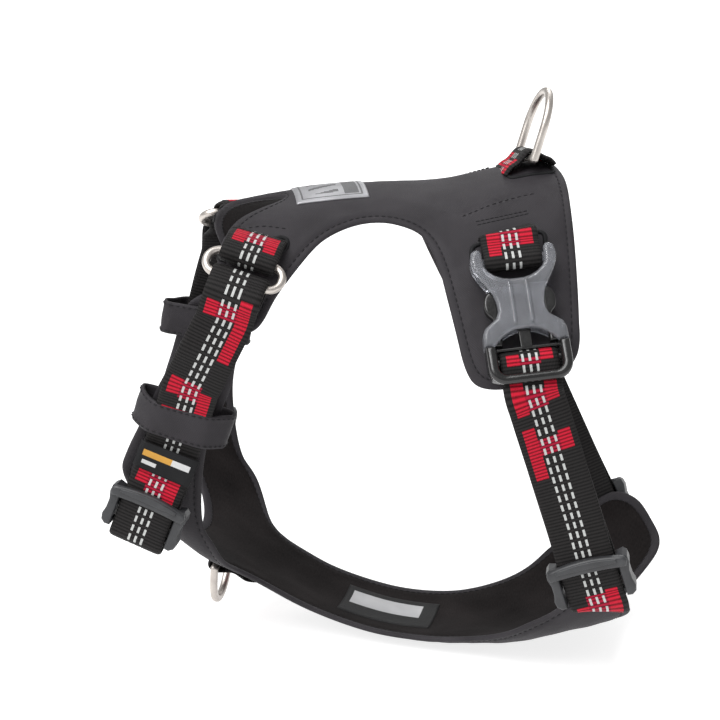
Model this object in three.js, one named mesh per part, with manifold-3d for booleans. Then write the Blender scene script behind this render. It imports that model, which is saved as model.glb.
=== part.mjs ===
// A no-pull dog harness: a padded back panel and a padded Y-shaped chest plate, joined by two neck straps
// and two girth straps of ribbed webbing. Each girth strap ends in a side-release buckle, and every strap is
// doubled back through a slider. A leash ring stands over the withers and a second one hangs at the chest.
// Millimetres. The dog faces -X, its left side is -Y, +Z is up.
import * as THREE from 'three';
import { mergeVertices } from 'three/addons/utils/BufferGeometryUtils.js';
import Module from 'manifold-3d';

const wasm = await Module();
wasm.setup();

// ---- driving dimensions ----
const WEB_WIDTH = 23;            // webbing
const WEB_THICK = 1.6;
const CLEAR = 0.35;              // gap between neighbouring solids
const SLOT = WEB_WIDTH / 2 + 0.8; // half the width that hardware leaves for webbing
const WRAP = 3.1;                // centre radius of webbing that turns round a bar
const BAR = 1.7;                 // half the section of a ring's bar
const SHELL = [-1, 0];           // the three layers of a pad, measured outwards from its outer face
const FOAM = [-3.7, -1.6];
const LINING = [-5.2, -4.2];
const SNAP = 0.4;                // points of a sheet closer than this become one
const BACK_STEPS = [26, 12];       // facets, along the body and round it
const CHEST_STEPS = [15, 10];
const FOAM_INSET = 5;            // the foam stops short of the hem
const TWIST = THREE.MathUtils.degToRad(0.11);   // the harness hangs with a slight twist, per mm of height
const TWIST_LEVEL = 7;           // height with no twist
const BACK_RADIUS = [48, 56];    // the back's roundness over the spine, at the neck and behind the shoulders
const SIDE_RADIUS = 130;         // and down the ribs, past SIDE_ANGLE
const SIDE_ANGLE = THREE.MathUtils.degToRad(50);
const BACK_TOP = 84.5;           // height of the spine at BACK_TOP_X, and how it slopes to the neck
const BACK_TOP_X = 73;
const BACK_SLOPE = 0.095;
const DIP = { depth: 3.3, x: 35, reach: 28 };   // the hollow behind the withers
const CHEST_RADIUS = 80;         // roundness under the chest
const CHEST_FLAT = [37, 25];     // half width of that part, at the neck and behind the legs
const CHEST_CORNER = [20, 46.8]; // radius of the turn from there up the ribs
const ORIGIN = [0, 0, 71.8];     // the underside of the back panel, over the withers

const { lerp, smoothstep } = THREE.MathUtils;
const v3 = (x, y, z) => new THREE.Vector3(x, y, z);
const curveThrough = (points) => new THREE.SplineCurve(points.map(([x, y]) => new THREE.Vector2(x, y)));

// ---- materials ----
const material = (colour, roughness, metalness = 0) =>
  new THREE.MeshStandardMaterial({ color: colour, roughness, metalness });
const FABRIC = material(0x3b3a3e, 0.8);
const FOAM_GREY = material(0x55565a, 0.9);
const LINING_BLACK = material(0x1c1b1c, 0.95);
const WEBBING = material(0x2a1518, 0.8);
const REFLECTIVE = material(0x8a8b8e, 0.4);
const CARE_TAPE = material(0x9a9a9a, 0.7);
const WOVEN_LABEL = material(0x18181a, 0.6);
const NICKEL = material(0xa9a39b, 0.32, 1);
const SLIDER_PLASTIC = material(0x3c3e41, 0.55);
const CLEAR_PLASTIC = material(0xa4a6ab, 0.25);
const BLACK_PLASTIC = material(0x141415, 0.3);

const group = new THREE.Group();
group.position.set(-ORIGIN[0], -ORIGIN[1], -ORIGIN[2]);

function addMesh(name, geometry, look) {
  const mesh = new THREE.Mesh(geometry, look);
  mesh.name = name;
  group.add(mesh);
  return mesh;
}

// ---- the dog's shape ----
function twisted(p) {
  return p.applyAxisAngle(v3(0, 0, 1), TWIST * (p.z - TWIST_LEVEL));
}

// A section of two arcs: one of radius r0 as far as the angle turn, then one of radius r1 up to a wall.
function twoArcs(far, r0, r1, turn, most) {
  const a = far < r0 * turn ? far / r0 : Math.min(turn + (far - r0 * turn) / r1, most);
  const b = Math.min(a, turn);
  const past = Math.max(0, far - r0 * turn - r1 * (most - turn));
  return {
    across: r0 * Math.sin(b) + r1 * (Math.sin(a) - Math.sin(b)),
    rise: r0 * (1 - Math.cos(b)) + r1 * (Math.cos(b) - Math.cos(a)) + past,
  };
}

function backBase(x, s) {
  const radius = lerp(...BACK_RADIUS, smoothstep(x, -60, 20));
  const { across, rise } = twoArcs(Math.abs(s), radius, SIDE_RADIUS, SIDE_ANGLE, Math.PI / 2);
  const dip = DIP.depth * Math.exp(-(((x - DIP.x) / DIP.reach) ** 2));
  return v3(x, -Math.sign(s) * across, BACK_TOP + (x - BACK_TOP_X) * BACK_SLOPE - dip - rise);
}

// The keel is the line under the chest, from the throat to behind the ribs: x, z.
const KEEL = curveThrough([[-110, -48], [-88, -68], [-75, -80], [-60, -91], [-38, -104], [-17, -114],
  [9, -121], [33, -122.5], [55, -120.5], [80, -116], [104, -108], [140, -98]]);
const KEEL_LINE = KEEL.getPoints(240);

function keelHeight(x) {
  const i = Math.max(1, KEEL_LINE.findIndex((p) => p.x >= x));
  const [a, b] = [KEEL_LINE[i - 1], KEEL_LINE[i]];
  return lerp(a.y, b.y, (x - a.x) / (b.x - a.x));
}

function chestBase(x, s) {
  const blend = smoothstep(x, -60, 60);
  const turn = lerp(...CHEST_FLAT, blend) / CHEST_RADIUS;
  const { across, rise } = twoArcs(Math.abs(s), CHEST_RADIUS, lerp(...CHEST_CORNER, blend), turn, Math.PI / 2);
  return v3(x, -Math.sign(s) * across, keelHeight(x) + rise);
}

// How far round the section, from the keel, the height z is reached.
function roundTo(x, z) {
  let [low, high] = [0, 200];
  for (let i = 0; i < 30; i += 1) {
    const middle = (low + high) / 2;
    if (chestBase(x, middle).z < z) low = middle;
    else high = middle;
  }
  return low;
}

// A point n mm outside a surface, and the outward direction there.
function onSurface(base, x, s, n) {
  const p = base(x, s);
  const alongX = base(x + 0.5, s).sub(base(x - 0.5, s));
  const alongS = base(x, s + 0.5).sub(base(x, s - 0.5));
  const out = alongX.cross(alongS).normalize();
  if (base === backBase) out.negate();
  return { p: p.addScaledVector(out, n), n: out };
}

// ---- sheets cut to an outline and bent over a surface ----
function clip(polygon, axis, limit, sign) {
  const kept = [];
  polygon.forEach((a, i) => {
    const b = polygon[(i + 1) % polygon.length];
    const [da, db] = [sign * (a[axis] - limit), sign * (b[axis] - limit)];
    if (da >= 0) kept.push(a);
    if (da * db < 0) kept.push(new THREE.Vector2().lerpVectors(a, b, da / (da - db)));
  });
  return kept;
}

function cellsOf(outline, stepX, stepS) {
  const box = new THREE.Box2().setFromPoints(outline);
  const cells = [];
  for (let x = Math.floor(box.min.x / stepX) * stepX; x < box.max.x; x += stepX) {
    const strip = clip(clip(outline, 'x', x, 1), 'x', x + stepX, -1);
    for (let s = Math.floor(box.min.y / stepS) * stepS; s < box.max.y; s += stepS) {
      const cell = clip(clip(strip, 'y', s, 1), 'y', s + stepS, -1);
      if (cell.length > 2 && Math.abs(THREE.ShapeUtils.area(cell)) > 1e-4) cells.push(cell);
    }
  }
  return cells;
}

function sheet(outline, base, [inner, outer], [stepX, stepS]) {
  const points = [];
  const indexFor = (q) => {
    const known = points.findIndex((p) => p.distanceTo(q) < SNAP);
    return known < 0 ? points.push(q) - 1 : known;
  };
  outline.forEach(indexFor);
  const triangles = [];
  for (const cell of cellsOf(outline, stepX, stepS)) {
    for (const face of THREE.ShapeUtils.triangulateShape(cell, [])) {
      const corners = face.map((i) => cell[i]);
      const t = corners.map(indexFor);
      if (new Set(t).size < 3) continue;
      triangles.push(THREE.ShapeUtils.area(corners) > 0 ? t : t.reverse());
    }
  }
  const edges = new Set(triangles.flatMap(([a, b, c]) => [`${a},${b}`, `${b},${c}`, `${c},${a}`]));
  const rim = [...edges].map((e) => e.split(',').map(Number)).filter(([a, b]) => !edges.has(`${b},${a}`));
  const count = points.length;
  const places = [outer, inner].flatMap((n) => points.map((q) => twisted(onSurface(base, q.x, q.y, n).p)));
  const faces = triangles.map(([a, b, c]) => [c, b, a]);
  faces.push(...triangles.map((t) => t.map((i) => i + count)));
  faces.push(...rim.flatMap(([a, b]) => [[a, b, b + count], [a, b + count, a + count]]));
  const geometry = new THREE.BufferGeometry().setFromPoints(places);
  geometry.setIndex(faces.flat());
  return facingOut(geometry);
}

function facingOut(geometry) {
  const place = geometry.attributes.position;
  const index = geometry.index.array;
  const corner = (i) => v3(place.getX(index[i]), place.getY(index[i]), place.getZ(index[i]));
  let volume = 0;
  for (let i = 0; i < index.length; i += 3) volume += corner(i).dot(corner(i + 1).cross(corner(i + 2)));
  if (volume < 0) index.reverse();
  return geometry;
}

function mirroredOutline(half, spacing) {
  const curve = curveThrough(half);
  const near = curve.getSpacedPoints(Math.round(curve.getLength() / spacing));
  const far = near.slice(1, -1).reverse().map((q) => new THREE.Vector2(q.x, -q.y));
  return [...near, ...far];
}

function inset(outline, distance) {
  const sign = Math.sign(THREE.ShapeUtils.area(outline));
  return outline.map((q, i) => {
    const before = outline[(i + outline.length - 1) % outline.length];
    const after = outline[(i + 1) % outline.length];
    const along = new THREE.Vector2().subVectors(after, before).normalize();
    return new THREE.Vector2(q.x - sign * along.y * distance, q.y + sign * along.x * distance);
  });
}

function rectangle(x0, s0, x1, s1) {
  return [[x0, s0], [x1, s0], [x1, s1], [x0, s1]].map(([x, s]) => new THREE.Vector2(x, s));
}

// ---- pads ----
const up = (x, z) => [x, roundTo(x, z)];
const BACK_HALF = [[-31, 0], [-35, 6], [-43, 11], [-52, 18], [-58, 28], [-61, 40], [-60, 52], [-57, 64],
  [-52, 72], [-46, 74.5], [-41.5, 70.5], [-36.5, 60], [-26, 45.5], [-18, 37], [-7, 31.5], [3, 30],
  [12, 32], [21.5, 38.5], [27.5, 53], [31.5, 68], [36.3, 84.5], [40.3, 96.5], [45.5, 104.5], [55, 108],
  [68, 108], [78.5, 105.8], [84, 100.5], [85.2, 93.5], [84.3, 84], [83, 63], [82.6, 40], [83.5, 20], [83, 8],
  [82.5, 0]];
const CHEST_HALF = [[-73, 0], [-75, 12], up(-79, -73), up(-86, -62), up(-93, -50), up(-96.5, -38),
  up(-94, -27), up(-87, -10), up(-81, 5), up(-76, 14), up(-66.5, 19), up(-57, 17.5), up(-52, 11),
  up(-52, 3), up(-55, -7), up(-59, -18), up(-61.5, -31), up(-62, -50), up(-60.5, -63), up(-56, -73),
  [-47, 30], [-27, 25.5], [0, 25.5], [30, 27], [47, 30], [61, 35], [71, 41], [80, 49], up(90, -92), up(99, -81),
  up(106, -75.5), up(113, -74), up(121, -77), up(127, -84), up(130.5, -89), [130, 34], [125, 24], [119, 12],
  [117, 0]];

function addPad(name, outline, base, steps) {
  addMesh(`${name}_shell`, sheet(outline, base, SHELL, steps), FABRIC);
  addMesh(`${name}_foam`, sheet(inset(outline, FOAM_INSET), base, FOAM, steps), FOAM_GREY);
  addMesh(`${name}_lining`, sheet(inset(outline, 0.5), base, LINING, steps), LINING_BLACK);
}
const backOutline = mirroredOutline(BACK_HALF, 8);
const chestOutline = mirroredOutline(CHEST_HALF, 8);
addPad('back_panel', backOutline, backBase, BACK_STEPS);
addPad('chest_plate', chestOutline, chestBase, CHEST_STEPS);
addMesh('back_label', sheet(rectangle(-28, -15, 2, 15), backBase, [CLEAR, 1.1], BACK_STEPS), REFLECTIVE);
addMesh('care_label', sheet(rectangle(-9, -14, 34, 14), chestBase, [-6.4, -5.2 - CLEAR], CHEST_STEPS), CARE_TAPE);

// ---- tracks: the line a strap follows, with the way it faces ----
class Track {
  constructor(keys, step = 6) {
    const points = [];
    const facings = [];
    keys.forEach((key, i) => {
      const next = keys[i + 1];
      const parts = next ? Math.max(1, Math.round(key.p.distanceTo(next.p) / step)) : 1;
      for (let k = 0; k < parts; k += 1) {
        points.push(next ? key.p.clone().lerp(next.p, k / parts) : key.p.clone());
        facings.push(next ? key.n.clone().lerp(next.n, k / parts) : key.n.clone());
      }
    });
    this.line = new THREE.CatmullRomCurve3(points);
    this.facing = new THREE.CatmullRomCurve3(facings);
    this.samples = 400;
    this.lengths = this.line.getPoints(this.samples).reduce((sums, p, i, all) => {
      sums.push(i ? sums[i - 1] + p.distanceTo(all[i - 1]) : 0);
      return sums;
    }, []);
    this.length = this.lengths[this.samples];
  }

  frame(u) {
    const inside = THREE.MathUtils.clamp(u, 0, this.length);
    const i = Math.max(1, this.lengths.findIndex((l) => l >= inside));
    const [a, b] = [this.lengths[i - 1], this.lengths[i]];
    const t = (i - 1 + (inside - a) / (b - a)) / this.samples;
    const along = this.line.getTangent(THREE.MathUtils.clamp(t, 0.001, 0.999));
    const p = this.line.getPoint(t).addScaledVector(along, u - inside);
    const out = this.facing.getPoint(t);
    out.addScaledVector(along, -out.dot(along)).normalize();
    return { p, along, out, across: along.clone().cross(out) };
  }

  nearest(p) {
    let best = 0;
    for (let i = 0; i <= this.samples; i += 1) {
      if (this.line.getPoint(i / this.samples).distanceTo(p) < this.line.getPoint(best).distanceTo(p)) {
        best = i / this.samples;
      }
    }
    return this.lengths[Math.round(best * this.samples)];
  }
}

function place(mesh, frame) {
  const turn = new THREE.Matrix4().makeBasis(frame.across, frame.along, frame.out);
  mesh.applyMatrix4(turn.setPosition(frame.p));
  return mesh;
}

// A strip of webbing. Its profile is a line in the plane of the track: u along it, n outwards.
function webbing(track, profile, width = WEB_WIDTH, thick = WEB_THICK) {
  const last = profile.length - 1;
  const geometry = new THREE.BoxGeometry(last, width, thick, last, 1, 1);
  const normals = profile.map((q, i) => {
    const along = new THREE.Vector2().subVectors(profile[Math.min(i + 1, last)], profile[Math.max(i - 1, 0)]);
    return new THREE.Vector2(-along.y, along.x).normalize();
  });
  const spots = geometry.attributes.position;
  for (let k = 0; k < spots.count; k += 1) {
    const i = Math.round(spots.getX(k) + last / 2);
    const q = profile[i].clone().addScaledVector(normals[i], spots.getZ(k));
    const { p, out, across } = track.frame(q.x);
    p.addScaledVector(out, q.y).addScaledVector(across, spots.getY(k));
    spots.setXYZ(k, p.x, p.y, p.z);
  }
  return facingOut(welded(geometry));
}

function welded(geometry) {
  geometry.deleteAttribute('normal');
  geometry.deleteAttribute('uv');
  return mergeVertices(geometry, 1e-4);
}

function turnRound(u, n, radius, from, to, steps = 8) {
  return Array.from({ length: steps + 1 }, (_, i) => {
    const a = THREE.MathUtils.degToRad(lerp(from, to, i / steps));
    return new THREE.Vector2(u + radius * Math.cos(a), n + radius * Math.sin(a));
  });
}

function straight(u0, n0, u1, n1, step = 13) {
  const parts = Math.max(1, Math.round(Math.abs(u1 - u0) / step));
  return Array.from({ length: parts + 1 }, (_, i) =>
    new THREE.Vector2(lerp(u0, u1, i / parts), lerp(n0, n1, i / parts)));
}

// A tab sewn down at u0 that turns round a bar at u = bar and comes back under itself.
function foldedTab(u0, bar, barN, sewnN) {
  const upper = sewnN + WEB_THICK + CLEAR;
  return [
    ...straight(u0, upper, bar - 8, upper),
    ...turnRound(bar, barN, WRAP, 115, -100),
    ...straight(bar - 6, sewnN, u0, sewnN),
  ];
}

// A short strip sewn down on both sides of a bar that it arches over.
function saddle(bar, barN, sewnN) {
  return [
    ...straight(0, sewnN, bar - 7, sewnN, 4),
    ...turnRound(bar, barN, WRAP, 140, 40, 6),
    ...straight(bar + 7, sewnN, bar + 10, sewnN, 4),
  ];
}

// ---- hardware ----
function solidOf(geometry) {
  const clean = welded(geometry);
  const mesh = new wasm.Mesh({
    numProp: 3,
    vertProperties: new Float32Array(clean.attributes.position.array),
    triVerts: new Uint32Array(clean.index.array),
  });
  return new wasm.Manifold(mesh);
}

function geometryOf(solid) {
  const mesh = solid.getMesh();
  const geometry = new THREE.BufferGeometry();
  geometry.setAttribute('position', new THREE.BufferAttribute(mesh.vertProperties, 3));
  geometry.setIndex(new THREE.BufferAttribute(mesh.triVerts, 1));
  return geometry;
}

function block(x0, x1, y0, y1, z0, z1) {
  const geometry = new THREE.BoxGeometry(x1 - x0, y1 - y0, z1 - z0);
  return solidOf(geometry.translate((x0 + x1) / 2, (y0 + y1) / 2, (z0 + z1) / 2));
}

// A round bar across a buckle or slider, at height y and depth z.
function crossBar(length, radius, y, z) {
  const geometry = new THREE.CylinderGeometry(radius, radius, length, 12).rotateZ(Math.PI / 2);
  return solidOf(geometry.translate(0, y, z));
}

function plate(shape, z0, z1, bevel = 0, steps = 6) {
  const geometry = new THREE.ExtrudeGeometry(shape, {
    depth: z1 - z0 - 2 * bevel,
    bevelEnabled: bevel > 0,
    bevelSize: bevel,
    bevelOffset: -bevel,
    bevelThickness: bevel,
    bevelSegments: 1,
    curveSegments: steps,
  });
  return geometry.translate(0, 0, z0 + bevel);
}

function roundedBox(halfX, y0, y1, radius) {
  const shape = new THREE.Shape();
  shape.absarc(halfX - radius, y0 + radius, radius, -Math.PI / 2, 0);
  shape.absarc(halfX - radius, y1 - radius, radius, 0, Math.PI / 2);
  shape.absarc(radius - halfX, y1 - radius, radius, Math.PI / 2, Math.PI);
  shape.absarc(radius - halfX, y0 + radius, radius, Math.PI, Math.PI * 1.5);
  shape.closePath();
  return shape;
}

// A D ring in its own plane: the bar lies along X through the origin and the bow stands at +Y.
function dRing(halfWidth, sideLength) {
  const outer = new THREE.Shape();
  outer.moveTo(-halfWidth, -BAR);
  outer.lineTo(halfWidth, -BAR);
  outer.absarc(0, sideLength, halfWidth, 0, Math.PI);
  outer.closePath();
  const hole = new THREE.Path();
  const inside = halfWidth - 2 * BAR;
  hole.moveTo(-inside, BAR);
  hole.lineTo(inside, BAR);
  hole.absarc(0, sideLength, inside, 0, Math.PI);
  hole.closePath();
  outer.holes.push(hole);
  return welded(plate(outer, -BAR, BAR, 0.8, 9));
}

// A flat oval ring: the loop holds its bar at the origin, the strap the bar at y = pitch.
function ovalRing(halfWidth, pitch) {
  const shape = roundedBox(halfWidth, -BAR, pitch + BAR, pitch / 2 + BAR);
  const inside = halfWidth - 2 * BAR;
  shape.holes.push(roundedBox(inside, BAR, pitch - BAR, 2.2));
  return welded(plate(shape, -BAR, BAR, 0.8, 4));
}

const SLIDER = { halfWidth: 18.3, halfHeight: 11.5, window: 7.4, front: [4.3, 6.6], bar: 1.3, barN: -1.3, cheek: 4.5 };

function slider() {
  const shape = roundedBox(SLIDER.halfWidth, -SLIDER.halfHeight, SLIDER.halfHeight, 3.5);
  shape.holes.push(roundedBox(SLOT, -SLIDER.window, SLIDER.window, 1));
  let solid = solidOf(plate(shape, ...SLIDER.front, 0.7, 2));
  for (const side of [-1, 1]) {
    const [a, b] = [side * SLOT, side * (SLIDER.halfWidth - 1.5)].sort((p, q) => p - q);
    solid = solid.add(block(a, b, -SLIDER.cheek, SLIDER.cheek, SLIDER.barN - 1.8, SLIDER.front[0] + 1));
  }
  return geometryOf(solid.add(crossBar(2 * SLOT + 1, SLIDER.bar, 0, SLIDER.barN)));
}

// The buckle lies along Y: the loop's bar is at the top (-Y) and the strap's bar in the plug at the bottom.
const BUCKLE = { loopBar: -23.5, mouth: 12.5, strapBar: 20, bottom: 28.8, thick: 4.5, cavity: 2.7, bore: 13.6 };
const SOCKET_HALF = [[16.6, -27.5], [17.2, -23.5], [15.6, -18], [12, -12.5], [9.4, -7], [9.2, -2], [11, 2], [15, 4.5],
  [16.4, 7], [16.6, BUCKLE.mouth], [12.5, BUCKLE.mouth]];
const TOP_BLOCK = -18;

function bothSides(half) {
  const far = [...half].reverse().map(([x, y]) => [-x, y]);
  return new THREE.Shape([...half, ...far].map(([x, y]) => new THREE.Vector2(x, y)));
}

function socket() {
  const arch = new THREE.SplineCurve([new THREE.Vector2(12.5, BUCKLE.mouth), new THREE.Vector2(9, 8.5),
    new THREE.Vector2(0, 6)]).getPoints(5).slice(1).map((q) => [q.x, q.y]);
  const outline = [[SLOT, -27.5], ...SOCKET_HALF, ...arch];
  const yoke = [[SLOT, TOP_BLOCK]];
  let solid = solidOf(plate(bothSides([...yoke, ...outline]), -BUCKLE.thick, BUCKLE.thick, 0.8));
  solid = solid.subtract(block(-BUCKLE.bore, BUCKLE.bore, -13, BUCKLE.mouth + 1, -BUCKLE.cavity, BUCKLE.cavity));
  solid = solid.add(crossBar(2 * SLOT + 2, 1.9, BUCKLE.loopBar, 0));
  for (const x of [-3.4, 3.4]) {
    solid = solid.add(block(x - 1, x + 1, -15, 2, BUCKLE.thick - 0.3, BUCKLE.thick + 0.8));
  }
  return geometryOf(solid);
}

function plug() {
  const side = 16.6;
  const root = BUCKLE.mouth + 0.5;
  let solid = solidOf(plate(roundedBox(side, root, root + 2.7, 1), -3, 3, 0.5, 3));
  for (const x of [-1, 1]) {
    const [a, b] = [x * SLOT, x * side].sort((p, q) => p - q);
    solid = solid.add(block(a, b, root, BUCKLE.bottom - 1, -3, 5.2));
  }
  solid = solid.add(solidOf(plate(roundedBox(side, 24.8, BUCKLE.bottom, 1.6), 4.6, 7, 0.6, 3)));
  solid = solid.add(crossBar(2 * SLOT + 1, 1.9, BUCKLE.strapBar, 0));
  solid = solid.add(block(-2.4, 2.4, -9, root + 1, -1.5, 1.5));
  return geometryOf(solid);
}

// One springy prong, for the side x > 0; its root is at the plug and its button shows at the waist.
const PRONG = [[9.4, 12.2], [9.2, 2], [9, -5], [9.4, -9], [11.4, -10.2], [12.8, -8], [13.3, -4.5], [12.6, -1.5],
  [11.3, 0.8], [11.6, 4], [12.8, 12.2]];

function prong(side) {
  const shape = new THREE.Shape(PRONG.map(([x, y]) => new THREE.Vector2(side * x, y)));
  return welded(plate(shape, -2.2, 2.2, 0.4));
}

// ---- leash ring at the withers and ring at the chest ----
const keyOf = (base, x, s, n) => {
  const spot = onSurface(base, x, s, n);
  const tip = twisted(spot.p.clone().add(spot.n));
  const p = twisted(spot.p);
  return { p, n: tip.sub(p) };
};
const SEWN = CLEAR + WEB_THICK / 2;      // a strip of webbing that lies flat on a pad

function addRing(name, keys, ringSize, barAt, barN, lean, profile) {
  const track = new Track(keys);
  addMesh(`${name}_loop`, webbing(track, profile), WEBBING);
  const { p, along, out, across } = track.frame(barAt);
  const way = out.clone().multiplyScalar(Math.cos(lean)).addScaledVector(along, Math.sin(lean));
  const frame = { p: p.clone().addScaledVector(out, barN), along: way, out: across.clone().cross(way), across };
  place(addMesh(`${name}_ring`, dRing(...ringSize), NICKEL), frame);
}
const LEASH_KEYS = [58, 66, 74, 82].map((x) => keyOf(backBase, x, 0, 0.4));
const LEASH_BAR = [13.5, 2.3];           // along its track, and above the pad
addRing('leash', LEASH_KEYS, [17, 13.5], ...LEASH_BAR, THREE.MathUtils.degToRad(27), saddle(...LEASH_BAR, SEWN));
const CHEST_KEYS = [-46, -53, -60, -68].map((x) => keyOf(chestBase, x, 0, 0));
const CHEST_BAR = [17, 4.7];
const CHEST_LEAN = THREE.MathUtils.degToRad(-29);
addRing('chest', CHEST_KEYS, [16, 7], ...CHEST_BAR, CHEST_LEAN, foldedTab(0, ...CHEST_BAR, SEWN));

// ---- straps ----
const free = (x, y, z, out) => {
  const n = v3(0, ...out).normalize();
  const tip = twisted(v3(x, y, z).add(n));
  const p = twisted(v3(x, y, z));
  return { p, n: tip.sub(p) };
};
const TOUCH = WEB_THICK / 2 + 0.25;      // two layers of a doubled strap lie this far from its middle
const SLIDER_INNER = SLIDER.barN - (SLIDER.bar + CLEAR + WEB_THICK / 2);

// The strap comes up from its sewn end, turns round the bar at u = bar and ends round the slider's bar.
function doubledStrap(bar, at, sewnEnd) {
  const wrap = SLIDER.bar + CLEAR + WEB_THICK / 2;
  return [
    ...sewnEnd,
    ...straight(at + 8, WRAP, at - 8, WRAP, 8),
    ...straight(at - 24, TOUCH, bar + 14, TOUCH),
    ...turnRound(bar, 0, WRAP, 80, 280),
    ...straight(bar + 14, -TOUCH, at - 24, -TOUCH),
    ...straight(at - 8, SLIDER_INNER, at - 4, SLIDER_INNER),
    ...turnRound(at, SLIDER.barN, wrap, -90, 70),
  ];
}

// The stretch of track under a slider is straight and faces one way.
function straightThrough(from, middle, before, after) {
  const along = middle.p.clone().sub(from.p).normalize();
  return [-before, 0, after].map((v) => ({ p: middle.p.clone().addScaledVector(along, v), n: middle.n.clone() }));
}

function addNeckStrap(side, name) {
  const y = (value) => -side * value;
  const sewn = keyOf(backBase, -44.5, side * 34.5, 3);
  const hang = [
    free(-57, y(56.5), 34, [y(1), 0.2]), free(-62.5, y(57.5), 20, [y(1), 0]), free(-68, y(55), 5, [y(1), 0]),
    free(-71.5, y(52.3), -11, [y(1), 0]), free(-74, y(52.3), -22, [y(1), 0]),
  ];
  const ringKeys = straightThrough(sewn, keyOf(backBase, -50, side * 50, 5.8), 11, 13);
  const sliderKeys = straightThrough(hang[4], keyOf(chestBase, -81.2, side * roundTo(-81.2, -50.5), 11.5), 15, 16);
  const keys = [sewn, ...ringKeys, ...hang, ...sliderKeys];
  const track = new Track(keys);
  const ringAt = track.nearest(ringKeys[1].p);
  const sliderAt = track.nearest(sliderKeys[1].p);
  const pitch = 11;
  const upper = ringAt - pitch / 2;
  addMesh(`${name}_shoulder_loop`, webbing(track, foldedTab(0, upper, 0, -0.8)), WEBBING);
  place(addMesh(`${name}_shoulder_ring`, ovalRing(SLOT + 1.7 + 2 * BAR, pitch), NICKEL), track.frame(upper));
  const uTurn = 3.6;
  const end = [
    ...straight(sliderAt - 18, WRAP - 2 * uTurn - 0.9, sliderAt + 9, WRAP - 2 * uTurn - 0.9),
    ...turnRound(sliderAt + 10, WRAP - uTurn, uTurn, -80, 80),
  ];
  addMesh(`${name}_neck_strap`, webbing(track, doubledStrap(ringAt + pitch / 2, sliderAt, end)), WEBBING);
  place(addMesh(`${name}_neck_slider`, slider(), SLIDER_PLASTIC), track.frame(sliderAt));
  return { track, sliderAt };
}

// The elastic band that holds a neck strap down on the arm of the chest plate.
const KEEPER = { halfWidth: 20, shift: 1, height: 14, wall: 1.2, back: -7 };

function addKeeper(side, name, track) {
  const { halfWidth, shift, height, wall, back } = KEEPER;
  const [x, z, front] = side > 0 ? [-72, -11, 9.9] : [-70, 5, 13.7];
  const { p, n: out } = keyOf(chestBase, x, side * roundTo(x, z), 0);
  const { along } = track.frame(track.nearest(p));
  along.addScaledVector(out, -along.dot(out)).normalize();
  const band = roundedBox(halfWidth, back - wall, front + wall, 3);
  band.holes.push(roundedBox(halfWidth - wall, back, front, 1.8));
  const geometry = plate(band, -height / 2, height / 2, 0, 3).rotateX(Math.PI / 2);
  const mesh = addMesh(`${name}_neck_keeper`, welded(geometry.translate(-side * shift, 0, 0)), FABRIC);
  place(mesh, { p, along, out, across: along.clone().cross(out) });
}

function addGirthStrap(side, name) {
  const middle = keyOf(backBase, 60.5, side * 81, BUCKLE.thick + 1.2);
  const before = keyOf(backBase, 58.7, side * 67, 0).p;
  const after = keyOf(backBase, 61.3, side * 81, 0).p;
  const along = after.sub(before).normalize();
  const spot = (v) => ({ p: middle.p.clone().addScaledVector(along, v), n: middle.n.clone() });
  const [sliderX, sliderZ, endZ] = side > 0 ? [103, -66, -94] : [99, -81, -103];
  const sliderKey = keyOf(chestBase, sliderX, side * roundTo(sliderX, sliderZ), 8);
  const [above, toSlider, below] = straightThrough(spot(33), sliderKey, 15, 13);
  const keys = [
    keyOf(backBase, 52.3, side * 34, 2.5), spot(-35), spot(-20), spot(33), above, toSlider, below,
    keyOf(chestBase, 109, side * roundTo(109, endZ), 4), keyOf(chestBase, 111, side * 27, 2),
  ];
  const track = new Track(keys);
  const centre = track.nearest(middle.p);
  const sliderAt = track.nearest(toSlider.p);
  const frame = track.frame(centre);
  addMesh(`${name}_buckle_loop`, webbing(track, foldedTab(7, centre + BUCKLE.loopBar, 0, -1.1)), WEBBING);
  place(addMesh(`${name}_buckle_socket`, socket(), CLEAR_PLASTIC), frame);
  place(addMesh(`${name}_buckle_plug`, plug(), BLACK_PLASTIC), frame);
  place(addMesh(`${name}_prong_front`, prong(side), BLACK_PLASTIC), frame);
  place(addMesh(`${name}_prong_rear`, prong(-side), BLACK_PLASTIC), frame);
  const end = straight(track.length, 0.2, sliderAt + 14, WRAP - 0.6);
  const strap = doubledStrap(centre + BUCKLE.strapBar, sliderAt, end);
  addMesh(`${name}_girth_strap`, webbing(track, strap), WEBBING);
  place(addMesh(`${name}_girth_slider`, slider(), SLIDER_PLASTIC), track.frame(sliderAt));
}

for (const [side, name] of [[1, 'left'], [-1, 'right']]) {
  const { track, sliderAt } = addNeckStrap(side, name);
  addKeeper(side, name, track);
  if (name === 'left') {
    const label = plate(roundedBox(12, -5.5, 5.5, 0.6), 2.9, 3.8);
    place(addMesh('left_strap_label', welded(label), WOVEN_LABEL), track.frame(sliderAt - 25));
  }
  addGirthStrap(side, name);
}

export default group;
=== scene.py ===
"""The looks of a no-pull dog harness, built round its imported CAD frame.

Shapes are worked out in the CAD part's millimetres, where the dog faces -X, its left side is -Y and +Z is up.
world() turns them into the row frame in metres.
"""
import math

import bmesh
import bpy
import numpy as np
from mathutils import Matrix, Vector, noise
from mathutils.bvhtree import BVHTree
from mathutils.geometry import delaunay_2d_cdt

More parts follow.
